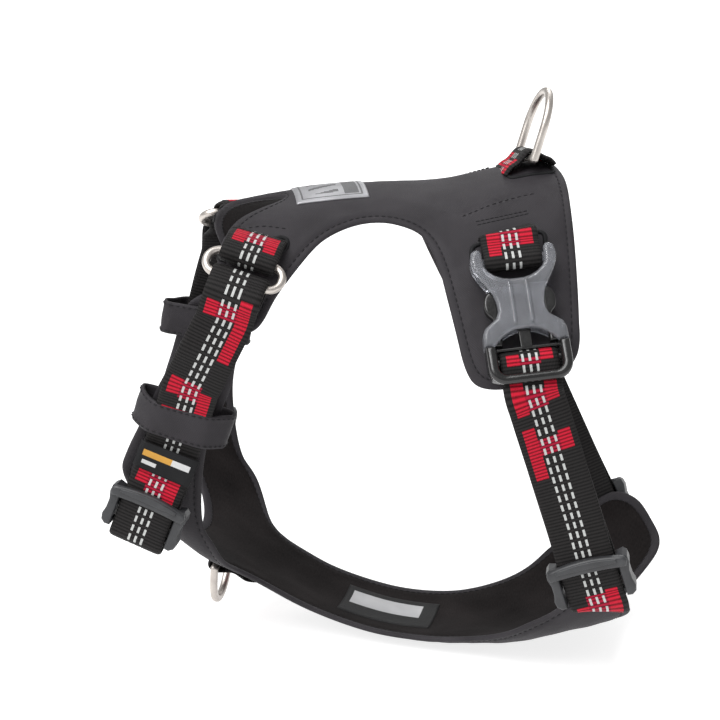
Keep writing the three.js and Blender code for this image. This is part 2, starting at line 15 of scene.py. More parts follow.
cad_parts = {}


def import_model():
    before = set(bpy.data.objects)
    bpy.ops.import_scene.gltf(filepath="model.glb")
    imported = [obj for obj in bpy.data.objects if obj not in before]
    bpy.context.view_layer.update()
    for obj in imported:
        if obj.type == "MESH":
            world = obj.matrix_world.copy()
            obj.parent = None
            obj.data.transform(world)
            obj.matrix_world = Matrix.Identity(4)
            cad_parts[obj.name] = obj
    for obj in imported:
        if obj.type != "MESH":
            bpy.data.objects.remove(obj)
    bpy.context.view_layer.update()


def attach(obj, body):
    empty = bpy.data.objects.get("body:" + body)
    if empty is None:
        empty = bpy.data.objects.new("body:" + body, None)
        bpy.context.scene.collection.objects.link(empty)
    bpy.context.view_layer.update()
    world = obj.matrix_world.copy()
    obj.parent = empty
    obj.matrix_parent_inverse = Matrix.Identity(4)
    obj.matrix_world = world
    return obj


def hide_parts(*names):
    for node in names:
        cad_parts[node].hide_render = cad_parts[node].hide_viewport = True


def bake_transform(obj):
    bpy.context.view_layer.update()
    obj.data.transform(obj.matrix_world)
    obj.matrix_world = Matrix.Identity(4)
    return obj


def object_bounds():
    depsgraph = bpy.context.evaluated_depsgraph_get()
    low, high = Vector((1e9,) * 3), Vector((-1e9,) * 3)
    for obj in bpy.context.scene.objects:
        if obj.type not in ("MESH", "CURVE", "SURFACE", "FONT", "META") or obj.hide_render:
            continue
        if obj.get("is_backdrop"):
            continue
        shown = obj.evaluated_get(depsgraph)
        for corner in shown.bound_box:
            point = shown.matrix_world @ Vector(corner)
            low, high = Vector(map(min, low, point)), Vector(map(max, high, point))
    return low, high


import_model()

# ---- dimensions shared with the CAD part, in mm ----
WEB_WIDTH = 23.0
WEB_THICK = 1.6
CLEAR = 0.35
SLOT = WEB_WIDTH / 2 + 0.8
WRAP = 3.1
BAR = 1.7
PAD_THICK = 5.2
TWIST = math.radians(0.11)
TWIST_LEVEL = 7
BACK_RADIUS = (48, 56)
SIDE_RADIUS = 130
SIDE_ANGLE = math.radians(50)
BACK_TOP = 84.5
BACK_TOP_X = 73
BACK_SLOPE = 0.095
DIP_DEPTH, DIP_X, DIP_REACH = 3.3, 35, 28     # the hollow behind the withers
CHEST_RADIUS = 80
CHEST_FLAT = (37, 25)
CHEST_CORNER = (20, 46.8)
ORIGIN = np.array([0, 0, 71.8])
SEWN = CLEAR + WEB_THICK / 2
TOUCH = WEB_THICK / 2 + 0.25
SIDES = ((1, "left"), (-1, "right"))

# ---- dimensions of the looks, in mm ----
ROW = 0.7                        # webbing rows; two rows make one rib
RIB = 0.15                       # how far a rib stands out
HEM = 3.2                        # width of the turned hem
YARN_PITCH = 0.6                 # spacing of the yarns of the webbing
STITCH = 2.7                     # spacing of stitches
THREAD = 0.26                    # radius of the thread
THREAD_LIFT = 0.0001             # how far a stitch lies above the cloth, in metres


# ---- small vector tools ----
def unit(v):
    return v / np.linalg.norm(v, axis=-1, keepdims=True)


def lerp(a, b, t):
    return a + (b - a) * t


def smooth(x, low, high):
    t = np.clip((x - low) / (high - low), 0, 1)
    return t * t * (3 - 2 * t)


def array(*values):
    return np.stack(np.broadcast_arrays(*[np.asarray(v, float) for v in values]), -1)


def catmull(points, t, power=0.5):
    """Places on the Catmull-Rom curve through points, at t from 0 to 1. Power 0 is the uniform curve."""
    points = np.asarray(points, float)
    padded = np.vstack([2 * points[0] - points[1], points, 2 * points[-1] - points[-2]])
    at = np.clip(t, 0, 1) * (len(points) - 1)
    i = np.minimum(at.astype(int), len(points) - 2)
    w = (at - i)[:, None]
    p0, p1, p2, p3 = (padded[i + k] for k in range(4))

    def gap(a, b, fallback=1.0):
        d = np.linalg.norm(b - a, axis=1, keepdims=True) ** power
        return np.where(d < 1e-4, fallback, d)

    d1 = gap(p1, p2)
    d0, d2 = gap(p0, p1, d1), gap(p2, p3, d1)
    t1 = ((p1 - p0) / d0 - (p2 - p0) / (d0 + d1) + (p2 - p1) / d1) * d1
    t2 = ((p2 - p1) / d1 - (p3 - p1) / (d1 + d2) + (p3 - p2) / d2) * d1
    return p1 + t1 * w + (3 * (p2 - p1) - 2 * t1 - t2) * w**2 + (2 * (p1 - p2) + t1 + t2) * w**3


def evenly(line, spacing, closed=False):
    """The polyline line again, with its points spacing apart."""
    line = np.asarray(line, float)
    if closed:
        line = np.vstack([line, line[:1]])
    steps = np.concatenate([[0], np.cumsum(np.linalg.norm(np.diff(line, axis=0), axis=1))])
    count = max(2, round(steps[-1] / spacing))
    at = np.linspace(0, steps[-1], count + 1)[: count if closed else count + 1]
    return np.stack([np.interp(at, steps, line[:, k]) for k in range(line.shape[1])], 1)


# ---- the dog's shape ----
def twisted(p):
    angle = TWIST * (p[..., 2] - TWIST_LEVEL)
    c, s = np.cos(angle), np.sin(angle)
    return np.stack([p[..., 0] * c - p[..., 1] * s, p[..., 0] * s + p[..., 1] * c, p[..., 2]], -1)


def world(p):
    return (np.asarray(p, float) - ORIGIN) / 1000


def two_arcs(far, r0, r1, turn):
    """How far across and down a curve gets that turns with radius r0, then r1, and then runs straight."""
    quarter = math.pi / 2
    a = np.where(far < r0 * turn, far / r0, np.minimum(turn + (far - r0 * turn) / r1, quarter))
    b = np.minimum(a, turn)
    past = np.maximum(0, far - r0 * turn - r1 * (quarter - turn))
    across = r0 * np.sin(b) + r1 * (np.sin(a) - np.sin(b))
    return across, r0 * (1 - np.cos(b)) + r1 * (np.cos(b) - np.cos(a)) + past


def back_base(x, s):
    radius = lerp(*BACK_RADIUS, smooth(x, -60, 20))
    across, rise = two_arcs(np.abs(s), radius, SIDE_RADIUS, SIDE_ANGLE)
    dip = DIP_DEPTH * np.exp(-(((x - DIP_X) / DIP_REACH) ** 2))
    return array(x, -np.sign(s) * across, BACK_TOP + (x - BACK_TOP_X) * BACK_SLOPE - dip - rise)


KEEL = [(-110, -48), (-88, -68), (-75, -80), (-60, -91), (-38, -104), (-17, -114), (9, -121), (33, -122.5),
        (55, -120.5), (80, -116), (104, -108), (140, -98)]
KEEL_LINE = catmull(KEEL, np.linspace(0, 1, 241), 0)


def chest_base(x, s):
    blend = smooth(x, -60, 60)
    turn = lerp(*CHEST_FLAT, blend) / CHEST_RADIUS
    across, rise = two_arcs(np.abs(s), CHEST_RADIUS, lerp(*CHEST_CORNER, blend), turn)
    return array(x, -np.sign(s) * across, np.interp(x, KEEL_LINE[:, 0], KEEL_LINE[:, 1]) + rise)


def round_to(x, z):
    """How far round the chest its surface reaches the height z."""
    low, high = 0.0, 200.0
    for _ in range(30):
        middle = (low + high) / 2
        if chest_base(x, middle)[2] < z:
            low = middle
        else:
            high = middle
    return low


def on_surface(base, x, s, n):
    """Places n mm outside a surface, and the outward directions there."""
    x, s = np.asarray(x, float), np.asarray(s, float)
    along_x = base(x + 0.5, s) - base(x - 0.5, s)
    along_s = base(x, s + 0.5) - base(x, s - 0.5)
    out = unit(np.cross(along_x, along_s)) * (-1 if base is back_base else 1)
    return base(x, s) + out * np.asarray(n, float)[..., None], out


def key_of(base, x, s, n):
    """A key n mm outside a surface. A key is a place and the way the webbing faces there."""
    p, out = on_surface(base, x, s, n)
    return twisted(p), twisted(p + out) - twisted(p)


def free(x, y, z, out):
    """A key away from the pads. out is across and up."""
    p, n = np.array([x, y, z], float), unit(np.array([0, *out], float))
    return twisted(p), twisted(p + n) - twisted(p)


# ---- tracks: the line a strap follows, with the way it faces ----
class Track:
    def __init__(self, keys, step=6):
        points, facings = [], []
        for i, (p, n) in enumerate(keys):
            q, m = keys[min(i + 1, len(keys) - 1)]
            parts = max(1, int(np.linalg.norm(q - p) / step + 0.5))
            for k in range(parts):
                points.append(lerp(p, q, k / parts))
                facings.append(lerp(n, m, k / parts))
        self.points, self.facings = np.array(points), np.array(facings)
        self.t = np.linspace(0, 1, 401)
        line = catmull(self.points, self.t)
        self.lengths = np.concatenate([[0], np.cumsum(np.linalg.norm(np.diff(line, axis=0), axis=1))])
        self.line, self.length = line, self.lengths[-1]

    def frame(self, u):
        """Places, and the directions along, out and across, at the distances u."""
        u = np.atleast_1d(np.asarray(u, float))
        inside = np.clip(u, 0, self.length)
        t = np.interp(inside, self.lengths, self.t)
        near = np.clip(t, 0.001, 0.999)
        along = unit(catmull(self.points, near + 1e-4) - catmull(self.points, near - 1e-4))
        p = catmull(self.points, t) + along * (u - inside)[:, None]
        out = catmull(self.facings, t)
        out = unit(out - along * np.sum(out * along, 1, keepdims=True))
        return p, along, out, np.cross(along, out)

    def matrix(self, u):
        """The matrix that puts a piece of hardware, drawn in mm, on the track in the row frame."""
        p, along, out, across = (v[0] for v in self.frame(u))
        return placing(p, across, along, out)

    def nearest(self, p):
        return self.lengths[np.argmin(np.linalg.norm(self.line - p, axis=1))]


def placing(p, across, along, out):
    """The matrix of a piece drawn in mm, from its place and its three directions."""
    matrix = Matrix.Identity(4)
    for k, axis in enumerate((across, along, out)):
        for row in range(3):
            matrix[row][k] = axis[row] / 1000
    for row, value in enumerate(world(p)):
        matrix[row][3] = value
    return matrix


# ---- materials ----
IN_MM = (1000, 1000, 1000)


def node(tree, kind, inputs=(), **settings):
    made = tree.nodes.new(kind)
    for key, value in settings.items():
        setattr(made, key, value)
    for socket, value in dict(inputs).items():
        if isinstance(value, bpy.types.NodeSocket):
            tree.links.new(value, made.inputs[socket])
        else:
            made.inputs[socket].default_value = value
    return made


def sums(tree, operation, a, b=0.0, c=0.5):
    """The result of a maths node. c is only used by a multiply and add."""
    return node(tree, "ShaderNodeMath", {0: a, 1: b, 2: c}, operation=operation).outputs[0]


def times(tree, a, b):
    return sums(tree, "MULTIPLY", a, b)


def mixture(tree, a, b, share):
    """a and b mixed, with this share of b."""
    return sums(tree, "ADD", times(tree, a, 1 - share), times(tree, b, share))


def stretched(tree, place, scales):
    return node(tree, "ShaderNodeVectorMath", {0: place, 1: scales}, operation="MULTIPLY").outputs[0]


def new_material(name, colour, roughness, **constants):
    """A material, its node tree and its shader. Constants go straight on the shader's own sockets."""
    material = bpy.data.materials.new(name)
    material.use_nodes = True
    material.diffuse_color = (*colour, 1)
    shader = material.node_tree.nodes["Principled BSDF"]
    shader.inputs["Base Color"].default_value = (*colour, 1)
    shader.inputs["Roughness"].default_value = roughness
    for key, value in constants.items():
        shader.inputs[key.replace("_", " ")].default_value = value
    return material, material.node_tree, shader


def uv_millimetres(tree):
    place = stretched(tree, node(tree, "ShaderNodeUVMap", uv_map="UVMap").outputs[0], IN_MM)
    parts = node(tree, "ShaderNodeSeparateXYZ", {0: place})
    return place, parts.outputs[0], parts.outputs[1]


def object_millimetres(tree):
    return stretched(tree, node(tree, "ShaderNodeTexCoord").outputs["Object"], IN_MM)


def noise_of(tree, place, scale, detail=3.0):
    inputs = {"Vector": place, "Scale": scale, "Detail": detail}
    return node(tree, "ShaderNodeTexNoise", inputs).outputs[0]


def between(tree, factor, low, high, start=0.3, end=0.7):
    """A value from low to high, as factor goes from start to end. Noise mostly stays within 0.3 and 0.7."""
    inputs = {"Value": factor, "From Min": start, "From Max": end, "To Min": low, "To Max": high}
    return node(tree, "ShaderNodeMapRange", inputs).outputs[0]


def rough(tree, shader, factor, low, high):
    tree.links.new(between(tree, factor, low, high), shader.inputs["Roughness"])


def shade(tree, shader, factor, dark, light):
    ramp = node(tree, "ShaderNodeMix", {0: factor}, data_type="RGBA")
    ramp.inputs[6].default_value = (*dark, 1)
    ramp.inputs[7].default_value = (*light, 1)
    tree.links.new(ramp.outputs[2], shader.inputs["Base Color"])


def bump(tree, shader, height, depth_mm, strength=1.0):
    inputs = {"Strength": strength, "Distance": depth_mm / 1000, "Height": height}
    tree.links.new(node(tree, "ShaderNodeBump", inputs).outputs[0], shader.inputs["Normal"])


def weave(tree, u, v, pitch):
    """A plain weave: threads that pass over and under each other every pitch mm."""
    turn = 2 * math.pi / pitch
    a, b = (sums(tree, "SINE", times(tree, way, turn)) for way in (u, v))
    return sums(tree, "MULTIPLY_ADD", times(tree, a, b), 0.5)


def fabric(name, dark, light, roughness, pitch, depth, **constants):
    material, tree, shader = new_material(name, light, roughness, **constants)
    place, u, v = uv_millimetres(tree)
    woven = weave(tree, u, v, pitch)
    patchy = noise_of(tree, place, 0.05)
    fuzz = noise_of(tree, place, 2.5, 4)
    shade(tree, shader, between(tree, mixture(tree, patchy, fuzz, 0.25), 0.0, 1.0), dark, light)
    rough(tree, shader, fuzz, roughness - 0.08, roughness + 0.08)
    bump(tree, shader, sums(tree, "ADD", woven, times(tree, fuzz, 0.6)), depth)
    return material


def brushed_lining():
    material, tree, shader = new_material("brushed lining", (0.02, 0.018, 0.018), 0.95, Sheen_Weight=0.03,
                                          Sheen_Roughness=0.5, Specular_IOR_Level=0.04)
    place, _, _ = uv_millimetres(tree)
    nap = noise_of(tree, stretched(tree, place, (1.0, 0.35, 1.0)), 1.6, 5)
    mixed = mixture(tree, nap, noise_of(tree, place, 0.035, 2), 0.6)
    shade(tree, shader, between(tree, mixed, 0.0, 1.0), (0.006, 0.0052, 0.0052), (0.021, 0.018, 0.018))
    bump(tree, shader, nap, 0.25, 0.7)
    return material


def yarn(name, dark, light, roughness, valley_shade=0.8, **constants):
    """The yarn of a webbing: fine threads that run across each rib.

    ribbed is how much painted shade darkens the valleys between the ribs, on top of the real rib geometry."""
    material, tree, shader = new_material(name, light, roughness, **constants)
    place, u, v = uv_millimetres(tree)
    # rib is 1 on a rib and 0 between ribs: painted shade darkens the colour in the valleys, where the real
    # ribs would shade.
    rib = sums(tree, "MULTIPLY_ADD", sums(tree, "COSINE", times(tree, v, math.pi / ROW)), -0.5)
    threads = sums(tree, "SINE", times(tree, u, 2 * math.pi / YARN_PITCH))
    worn = times(tree, noise_of(tree, place, 0.6, 4), 0.3)
    fibres = noise_of(tree, stretched(tree, place, (1.0, 5.0, 1.0)), 1.5, 3)
    shown = sums(tree, "ADD", sums(tree, "MULTIPLY_ADD", rib, valley_shade, 0.8 - valley_shade), worn)
    shade(tree, shader, between(tree, shown, 0.0, 1.0, 0.1, 0.8), dark, light)
    rough(tree, shader, fibres, roughness - 0.1, roughness + 0.1)
    bump(tree, shader, sums(tree, "ADD", times(tree, threads, 0.25), fibres), 0.12)
    return material


def satin_metal():
    material, tree, shader = new_material("satin nickel", (0.6, 0.56, 0.52), 0.3, Metallic=1.0)
    place = object_millimetres(tree)
    cloudy = noise_of(tree, place, 0.12)
    grain = noise_of(tree, stretched(tree, place, (0.4, 3.0, 3.0)), 2.0, 4)
    shade(tree, shader, between(tree, cloudy, 0.0, 1.0), (0.46, 0.42, 0.39), (0.62, 0.58, 0.54))
    rough(tree, shader, sums(tree, "MULTIPLY_ADD", grain, 0.6), 0.22, 0.4)
    bump(tree, shader, grain, 0.03, 0.6)
    return material


def moulded(name, dark, light, roughness, grain_scale, depth, **constants):
    material, tree, shader = new_material(name, light, roughness, **constants)
    place = object_millimetres(tree)
    cloudy = noise_of(tree, place, 0.15)
    grain = noise_of(tree, place, grain_scale, 4)
    shade(tree, shader, between(tree, cloudy, 0.0, 1.0), dark, light)
    rough(tree, shader, grain, roughness - 0.05, roughness + 0.07)
    bump(tree, shader, grain, depth, 0.6)
    return material


SHELL = fabric("coated nylon", (0.021, 0.019, 0.0215), (0.036, 0.033, 0.037), 0.6, 0.9, 0.09,
               Specular_IOR_Level=0.16)
LINING = brushed_lining()
THREAD_BLACK = fabric("sewing thread", (0.01, 0.01, 0.011), (0.02, 0.019, 0.021), 0.6, 0.5, 0.05,
                      Specular_IOR_Level=0.15)
# The dark colour of each yarn shows in random patches, and also as painted shade in the valleys between its
# ribs.
YARN_BLACK = yarn("black yarn", (0.0012, 0.0011, 0.0011), (0.015, 0.0135, 0.0135), 0.6,
                  Specular_IOR_Level=0.16)
YARN_RED = yarn("red yarn", (0.11, 0.0015, 0.006), (0.5, 0.01, 0.03), 0.6, Specular_IOR_Level=0.12)
YARN_CRIMSON = yarn("crimson yarn", (0.06, 0.001, 0.005), (0.33, 0.007, 0.03), 0.6, Specular_IOR_Level=0.12)
YARN_REFLECTIVE = yarn("reflective yarn", (0.13, 0.13, 0.127), (0.43, 0.44, 0.43), 0.35, 0.25,
                       Specular_IOR_Level=0.6)
NICKEL = satin_metal()
SLIDER_PLASTIC = moulded("slider plastic", (0.017, 0.0175, 0.0195), (0.031, 0.032, 0.035), 0.45, 3.0, 0.05)
BLACK_PLASTIC = moulded("black plastic", (0.006, 0.006, 0.006), (0.013, 0.013, 0.013), 0.17, 1.2, 0.02)
CLEAR_PLASTIC = moulded("clear plastic", (0.4, 0.41, 0.44), (0.52, 0.53, 0.57), 0.13, 0.8, 0.01,
                        Transmission_Weight=0.8, IOR=1.4)
SILVER = fabric("reflective silver", (0.2, 0.2, 0.21), (0.42, 0.42, 0.44), 0.35, 0.6, 0.05, Metallic=0.5)
SILVER_DARK = fabric("grey print", (0.05, 0.05, 0.053), (0.1, 0.1, 0.105), 0.5, 0.6, 0.05)
TAPE = fabric("care tape", (0.3, 0.3, 0.31), (0.45, 0.45, 0.46), 0.5, 0.45, 0.04)
TAPE_DARK = fabric("care tape dark", (0.006, 0.006, 0.007), (0.016, 0.016, 0.016), 0.6, 0.45, 0.04,
                   Specular_IOR_Level=0.2)
LABEL = fabric("woven label", (0.006, 0.006, 0.007), (0.014, 0.014, 0.015), 0.6, 0.5, 0.06,
               Specular_IOR_Level=0.15)
AMBER = fabric("amber yarn", (0.36, 0.17, 0.015), (0.58, 0.3, 0.035), 0.5, 0.5, 0.06)
WHITE = fabric("white yarn", (0.4, 0.4, 0.4), (0.62, 0.62, 0.62), 0.5, 0.5, 0.06)


# ---- pieces ----
def piece(name, mesh, materials, body="harness", nodes=()):
    """A finished piece, with the body it rides and the CAD nodes it replaces."""
    made = loose(name, mesh)
    for material in materials:
        mesh.materials.append(material)
    if body:
        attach(made, body)
    if nodes:
        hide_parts(*nodes)
    return made


def mesh_of(name, points, faces, uv=None, material_of=None):
    """A smooth mesh from points in metres. uv is one pair for each point, in metres."""
    mesh = bpy.data.meshes.new(name)
    mesh.from_pydata([tuple(p) for p in points], [], [tuple(int(i) for i in f) for f in faces])
    mesh.polygons.foreach_set("use_smooth", [True] * len(mesh.polygons))
    if uv is not None:
        layer = mesh.uv_layers.new(name="UVMap")
        corners = read(mesh.loops, "vertex_index", kind=int)
        layer.data.foreach_set("uv", np.asarray(uv, float)[corners].ravel())
    if material_of is not None:
        mesh.polygons.foreach_set("material_index", np.asarray(material_of, int))
    mesh.update()
    return mesh


def read(items, key, width=1, kind=float):
    """One property of every item, as an array."""
    values = np.zeros(len(items) * width, kind)
    items.foreach_get(key, values)
    return values.reshape(-1, width) if width > 1 else values


def ring_faces(rings, sides, joined=False):
    """The faces of a tube from its rings of points. joined also joins the last ring to the first."""
    faces = []
    for r in range(rings if joined else rings - 1):
        n = (r + 1) % rings
        for k in range(sides):
            j = (k + 1) % sides
            faces.append((r * sides + k, r * sides + j, n * sides + j, n * sides + k))
    return faces


def circle(sides):
    """Places round a circle of radius 1."""
    return [(math.cos(a), math.sin(a)) for a in np.arange(sides) * (2 * math.pi / sides)]


def caps(rings, sides):
    return [tuple(range(sides))[::-1], tuple(range((rings - 1) * sides, rings * sides))]


def layered(rows, columns, material_of):
    """The faces of a sheet of two layers, and the material of each, from its shares down and across."""
    size = rows * columns
    faces, picked = [], []
    for r in range(rows - 1):
        for c in range(columns - 1):
            corner = r * columns + c
            face = (corner, corner + columns, corner + columns + 1, corner + 1)
            faces += [face, tuple(size + i for i in face[::-1])]
            picked += [material_of((r + 0.5) / (rows - 1), (c + 0.5) / (columns - 1)), 0]
    grid = np.arange(size).reshape(rows, columns)
    rim = [*grid[:, 0], *grid[-1, 1:], *grid[-2::-1, -1], *grid[0, -2:0:-1]]
    for a, b in zip(rim, rim[1:] + rim[:1]):
        faces.append((a, a + size, b + size, b))
        picked.append(0)
    return faces, picked


def fix_normals(mesh, weld_within=0.0):
    """Turns the faces of a closed mesh outwards. Points that lie within a distance are joined first."""
    work = bmesh.new()
    work.from_mesh(mesh)
    if weld_within:
        bmesh.ops.remove_doubles(work, verts=work.verts, dist=weld_within)
        bmesh.ops.dissolve_degenerate(work, edges=work.edges, dist=weld_within)
    bmesh.ops.recalc_face_normals(work, faces=work.faces)
    work.to_mesh(mesh)
    work.free()


def evaluated(obj):
    """The mesh of obj with its modifiers applied, and obj removed."""
    graph = bpy.context.evaluated_depsgraph_get()
    mesh = bpy.data.meshes.new_from_object(obj.evaluated_get(graph), depsgraph=graph)
    bpy.data.objects.remove(obj)
    return mesh


def loose(name, data):
    """A new object in the scene."""
    made = bpy.data.objects.new(name, data)
    bpy.context.scene.collection.objects.link(made)
    return made


# ---- pads ----
def up(x, z):
    """A place on the flat chest plate, from its height on the dog."""
    return (x, round_to(x, z))


BACK_HALF = [(-31, 0), (-35, 6), (-43, 11), (-52, 18), (-58, 28), (-61, 40), (-60, 52), (-57, 64),
             (-52, 72), (-46, 74.5), (-41.5, 70.5), (-36.5, 60), (-26, 45.5), (-18, 37), (-7, 31.5),
             (3, 30), (12, 32), (21.5, 38.5), (27.5, 53), (31.5, 68), (36.3, 84.5), (40.3, 96.5),
             (45.5, 104.5), (55, 108), (68, 108), (78.5, 105.8), (84, 100.5), (85.2, 93.5), (84.3, 84),
             (83, 63), (82.6, 40), (83.5, 20), (83, 8), (82.5, 0)]
CHEST_HALF = [(-73, 0), (-75, 12), up(-79, -73), up(-86, -62), up(-93, -50), up(-96.5, -38), up(-94, -27),
              up(-87, -10), up(-81, 5), up(-76, 14), up(-66.5, 19), up(-57, 17.5), up(-52, 11), up(-52, 3),
              up(-55, -7), up(-59, -18), up(-61.5, -31), up(-62, -50), up(-60.5, -63), up(-56, -73),
              (-47, 30), (-27, 25.5), (0, 25.5), (30, 27), (47, 30), (61, 35), (71, 41), (80, 49),
              up(90, -92), up(99, -81), up(106, -75.5), up(113, -74), up(121, -77), up(127, -84),
              up(130.5, -89), (130, 34), (125, 24), (119, 12), (117, 0)]
# Across the turned edge of a pad: how far in from the edge, and how thick the pad is there.
EDGE = [(0.0, 0.0), (0.2, 0.9), (0.7, 1.9), (1.6, 2.3), (HEM - 0.6, 2.3), (HEM, 1.9), (HEM + 0.6, 2.4),
        (4.7, 3.0), (5.9, 3.6)]
EDGE_SPACING = 2.6               # spacing of the points along the edge of a pad
GRID = 3.0                       # spacing of the points inside a pad
FULL_THICK, FULL_AT = PAD_THICK - 0.5, 14     # how thick a pad gets, and how far in from its edge
HELD_SOFT = 7                    # how far round a sewn place the pad is still held
MOST_SWELL = 0.0007              # metres
CLOTH_FRAMES = 20
CLOTH = {"quality": 6, "mass": 0.15, "use_pressure": True, "uniform_pressure_force": 4,
         "vertex_group_mass": "held", "tension_stiffness": 40, "compression_stiffness": 40,
         "shear_stiffness": 20, "bending_stiffness": 1.5}


def outline_of(half, pull):
    """The outline of a pad from its half. pull moves its left rear corner forwards."""
    line = catmull(half, np.linspace(0, 1, 2000), 0)
    far = line[-2:0:-1] * (1, -1)
    line[:, 0] -= pull * smooth(line[:, 0], 92, 130) * smooth(line[:, 1], 0, 30)
    return evenly(np.vstack([line, far]), EDGE_SPACING, closed=True)


def turning(outline):
    """1 if the outline goes round anticlockwise, -1 if it goes clockwise."""
    ahead = np.roll(outline, -1, 0)
    return int(np.sign(np.sum(outline[:, 0] * ahead[:, 1] - ahead[:, 0] * outline[:, 1])))


def inward(outline, distance):
    """The outline moved inwards, with its points kept apart where it turns tightly."""
    ahead, behind = np.roll(outline, -1, 0), np.roll(outline, 1, 0)
    along = unit(ahead - behind)
    moved = outline + array(-along[:, 1], along[:, 0]) * distance * turning(outline)
    for _ in range(int(2 * distance)):
        moved = 0.5 * moved + 0.25 * (np.roll(moved, 1, 0) + np.roll(moved, -1, 0))
    return moved


def inside(outline, points):
    """True for each point that lies within the outline."""
    x, y = points[:, :1], points[:, 1:]
    a, b = outline, np.roll(outline, -1, 0)
    crosses = (a[:, 1] > y) != (b[:, 1] > y)
    with np.errstate(divide="ignore", invalid="ignore"):
        at = a[:, 0] + (y - a[:, 1]) * (b[:, 0] - a[:, 0]) / (b[:, 1] - a[:, 1])
    return np.sum(crosses & (x < at), 1) % 2 == 1


def far_from(outline, points):
    """How far each point is from the outline, which is closed."""
    a, b = outline, np.roll(outline, -1, 0)
    d = b - a
    best = np.full(len(points), 1e9)
    for p0, step in zip(a, d):
        t = np.clip((points - p0) @ step / max(step @ step, 1e-9), 0, 1)
        best = np.minimum(best, np.linalg.norm(points - p0 - t[:, None] * step, axis=1))
    return best


def filling(name, outline, loop):
    """The points and triangles that fill a pad within the innermost ring of its hem."""
    low, high = outline.min(0), outline.max(0)
    xs, ss = np.meshgrid(np.arange(low[0], high[0], GRID), np.arange(low[1], high[1], GRID))
    xs = xs + (np.arange(len(xs)) % 2)[:, None] * GRID / 2
    grid = np.stack([xs.ravel(), ss.ravel()], 1)
    grid = grid[inside(outline, grid)]
    grid = grid[far_from(outline, grid) > EDGE[-1][0] + GRID * 0.6]
    flat = np.vstack([loop, grid])
    rim = [(i, (i + 1) % len(loop)) for i in range(len(loop))]
    found = delaunay_2d_cdt([Vector(p) for p in flat], rim, [], 1, 1e-4)
    middle = np.array([tuple(v) for v in found[0]])
    if len(middle) != len(flat):
        raise ValueError(f"{name}: the pad's points changed from {len(flat)} to {len(middle)}")
    return middle, [f if turning(middle[list(f)]) > 0 else f[::-1] for f in found[2]]


def pad_mesh(name, base, outline):
    """A closed pad: an outer and an inner sheet that share the outermost ring of the hem."""
    rings = [inward(outline, d) for d, _ in EDGE]
    middle, triangles = filling(name, outline, rings[-1])
    places = np.vstack([*rings[:-1], middle])
    count, total = len(outline), len(places)
    first = total - len(middle)
    deep = far_from(outline, middle)
    reach = np.concatenate([np.repeat([d for d, _ in EDGE[:-1]], count), deep])
    thick = np.concatenate([np.repeat([t for _, t in EDGE[:-1]], count),
                            lerp(EDGE[-1][1], FULL_THICK, smooth(deep, EDGE[-1][0], FULL_AT))])
    faces = [f[::turning(outline)] for f in ring_faces(len(EDGE), count)]
    faces += [tuple(first + i for i in f) for f in triangles]
    outer, _ = on_surface(base, places[:, 0], places[:, 1], (thick - PAD_THICK) / 2)
    inner, _ = on_surface(base, places[:, 0], places[:, 1], (-thick - PAD_THICK) / 2)
    partner = np.arange(total) + total - count
    partner[:count] = np.arange(count)
    out_way = 1 if base is chest_base else -1
    faces = [f[::out_way] for f in faces] + [tuple(partner[i] for i in f)[::-out_way] for f in faces]
    flat = np.vstack([places, places[count:]])
    mesh = mesh_of(name, world(twisted(np.vstack([outer, inner[count:]]))), faces, uv=flat / 1000)
    reach = np.concatenate([reach, reach[count:]])
    side = np.repeat([1.0, -1.0], [total, total - count])
    for key, values in (("reach", reach), ("side", side)):
        mesh.attributes.new(key, "FLOAT", "POINT").data.foreach_set("value", values)
    return mesh, flat, reach


def held_places(flat, reach, blocks):
    """How firmly each point of a pad is held, by its hem and by what is sewn on it."""
    held = 1 - smooth(reach, 4.0, 9.0)
    for x0, s0, x1, s1 in blocks:
        away = np.hypot(np.maximum(0, np.maximum(x0 - flat[:, 0], flat[:, 0] - x1)),
                        np.maximum(0, np.maximum(s0 - flat[:, 1], flat[:, 1] - s1)))
        held = np.maximum(held, 1 - smooth(away, 0, HELD_SOFT))
    return held


def swell(obj, held, most):
    """Swells a pad as stuffing does, by a short cloth simulation. No point moves more than most metres."""
    group = obj.vertex_groups.new(name="held")
    for i, weight in enumerate(held):
        group.add([i], float(weight), "REPLACE")
    before = np.array([v.co for v in obj.data.vertices])
    cloth = obj.modifiers.new("Cloth", "CLOTH")
    for key, value in CLOTH.items():
        setattr(cloth.settings, key, value)
    cloth.settings.effector_weights.gravity = 0
    cloth.point_cache.frame_start = 1
    cloth.point_cache.frame_end = CLOTH_FRAMES
    for number in range(1, CLOTH_FRAMES + 1):
        bpy.context.scene.frame_set(number)
    graph = bpy.context.evaluated_depsgraph_get()
    shape = obj.evaluated_get(graph).to_mesh()
    after = np.array([v.co for v in shape.vertices])
    obj.evaluated_get(graph).to_mesh_clear()
    obj.modifiers.remove(cloth)
    bpy.context.scene.frame_set(1)
    move = after - before
    far = np.linalg.norm(move, axis=1, keepdims=True)
    move *= np.minimum(1, most / np.maximum(far, 1e-9)) * (1 - held[:, None])
    obj.data.vertices.foreach_set("co", (before + move).astype(np.float32).ravel())
    obj.vertex_groups.clear()
    obj.data.update()


def rumple(flat, scale, seed):
    return np.array([noise.noise(Vector((x / scale, s / scale, seed))) for x, s in flat])


def relief(flat, reach, side, blocks, seams, seed):
    """How far each point of a pad stands out, in mm: folds, a puckered hem and grooves along its seams."""
    soft = 1 - held_places(flat, reach, blocks)
    height = soft * (0.5 * rumple(flat, 26, seed) + 0.25 * rumple(flat, 9, seed + 5))
    pucker = smooth(reach, 2.6, 4.5) * (1 - smooth(reach, 5, 11))
    height += 0.16 * pucker * rumple(flat, 4.2, seed + 9)
    for seam in seams:
        away = np.min(np.linalg.norm(flat[:, None] - evenly(seam, 1.0)[None], axis=2), 1)
        height -= 0.45 * np.exp(-((away / 0.9) ** 2)) * (side > 0)
    return height


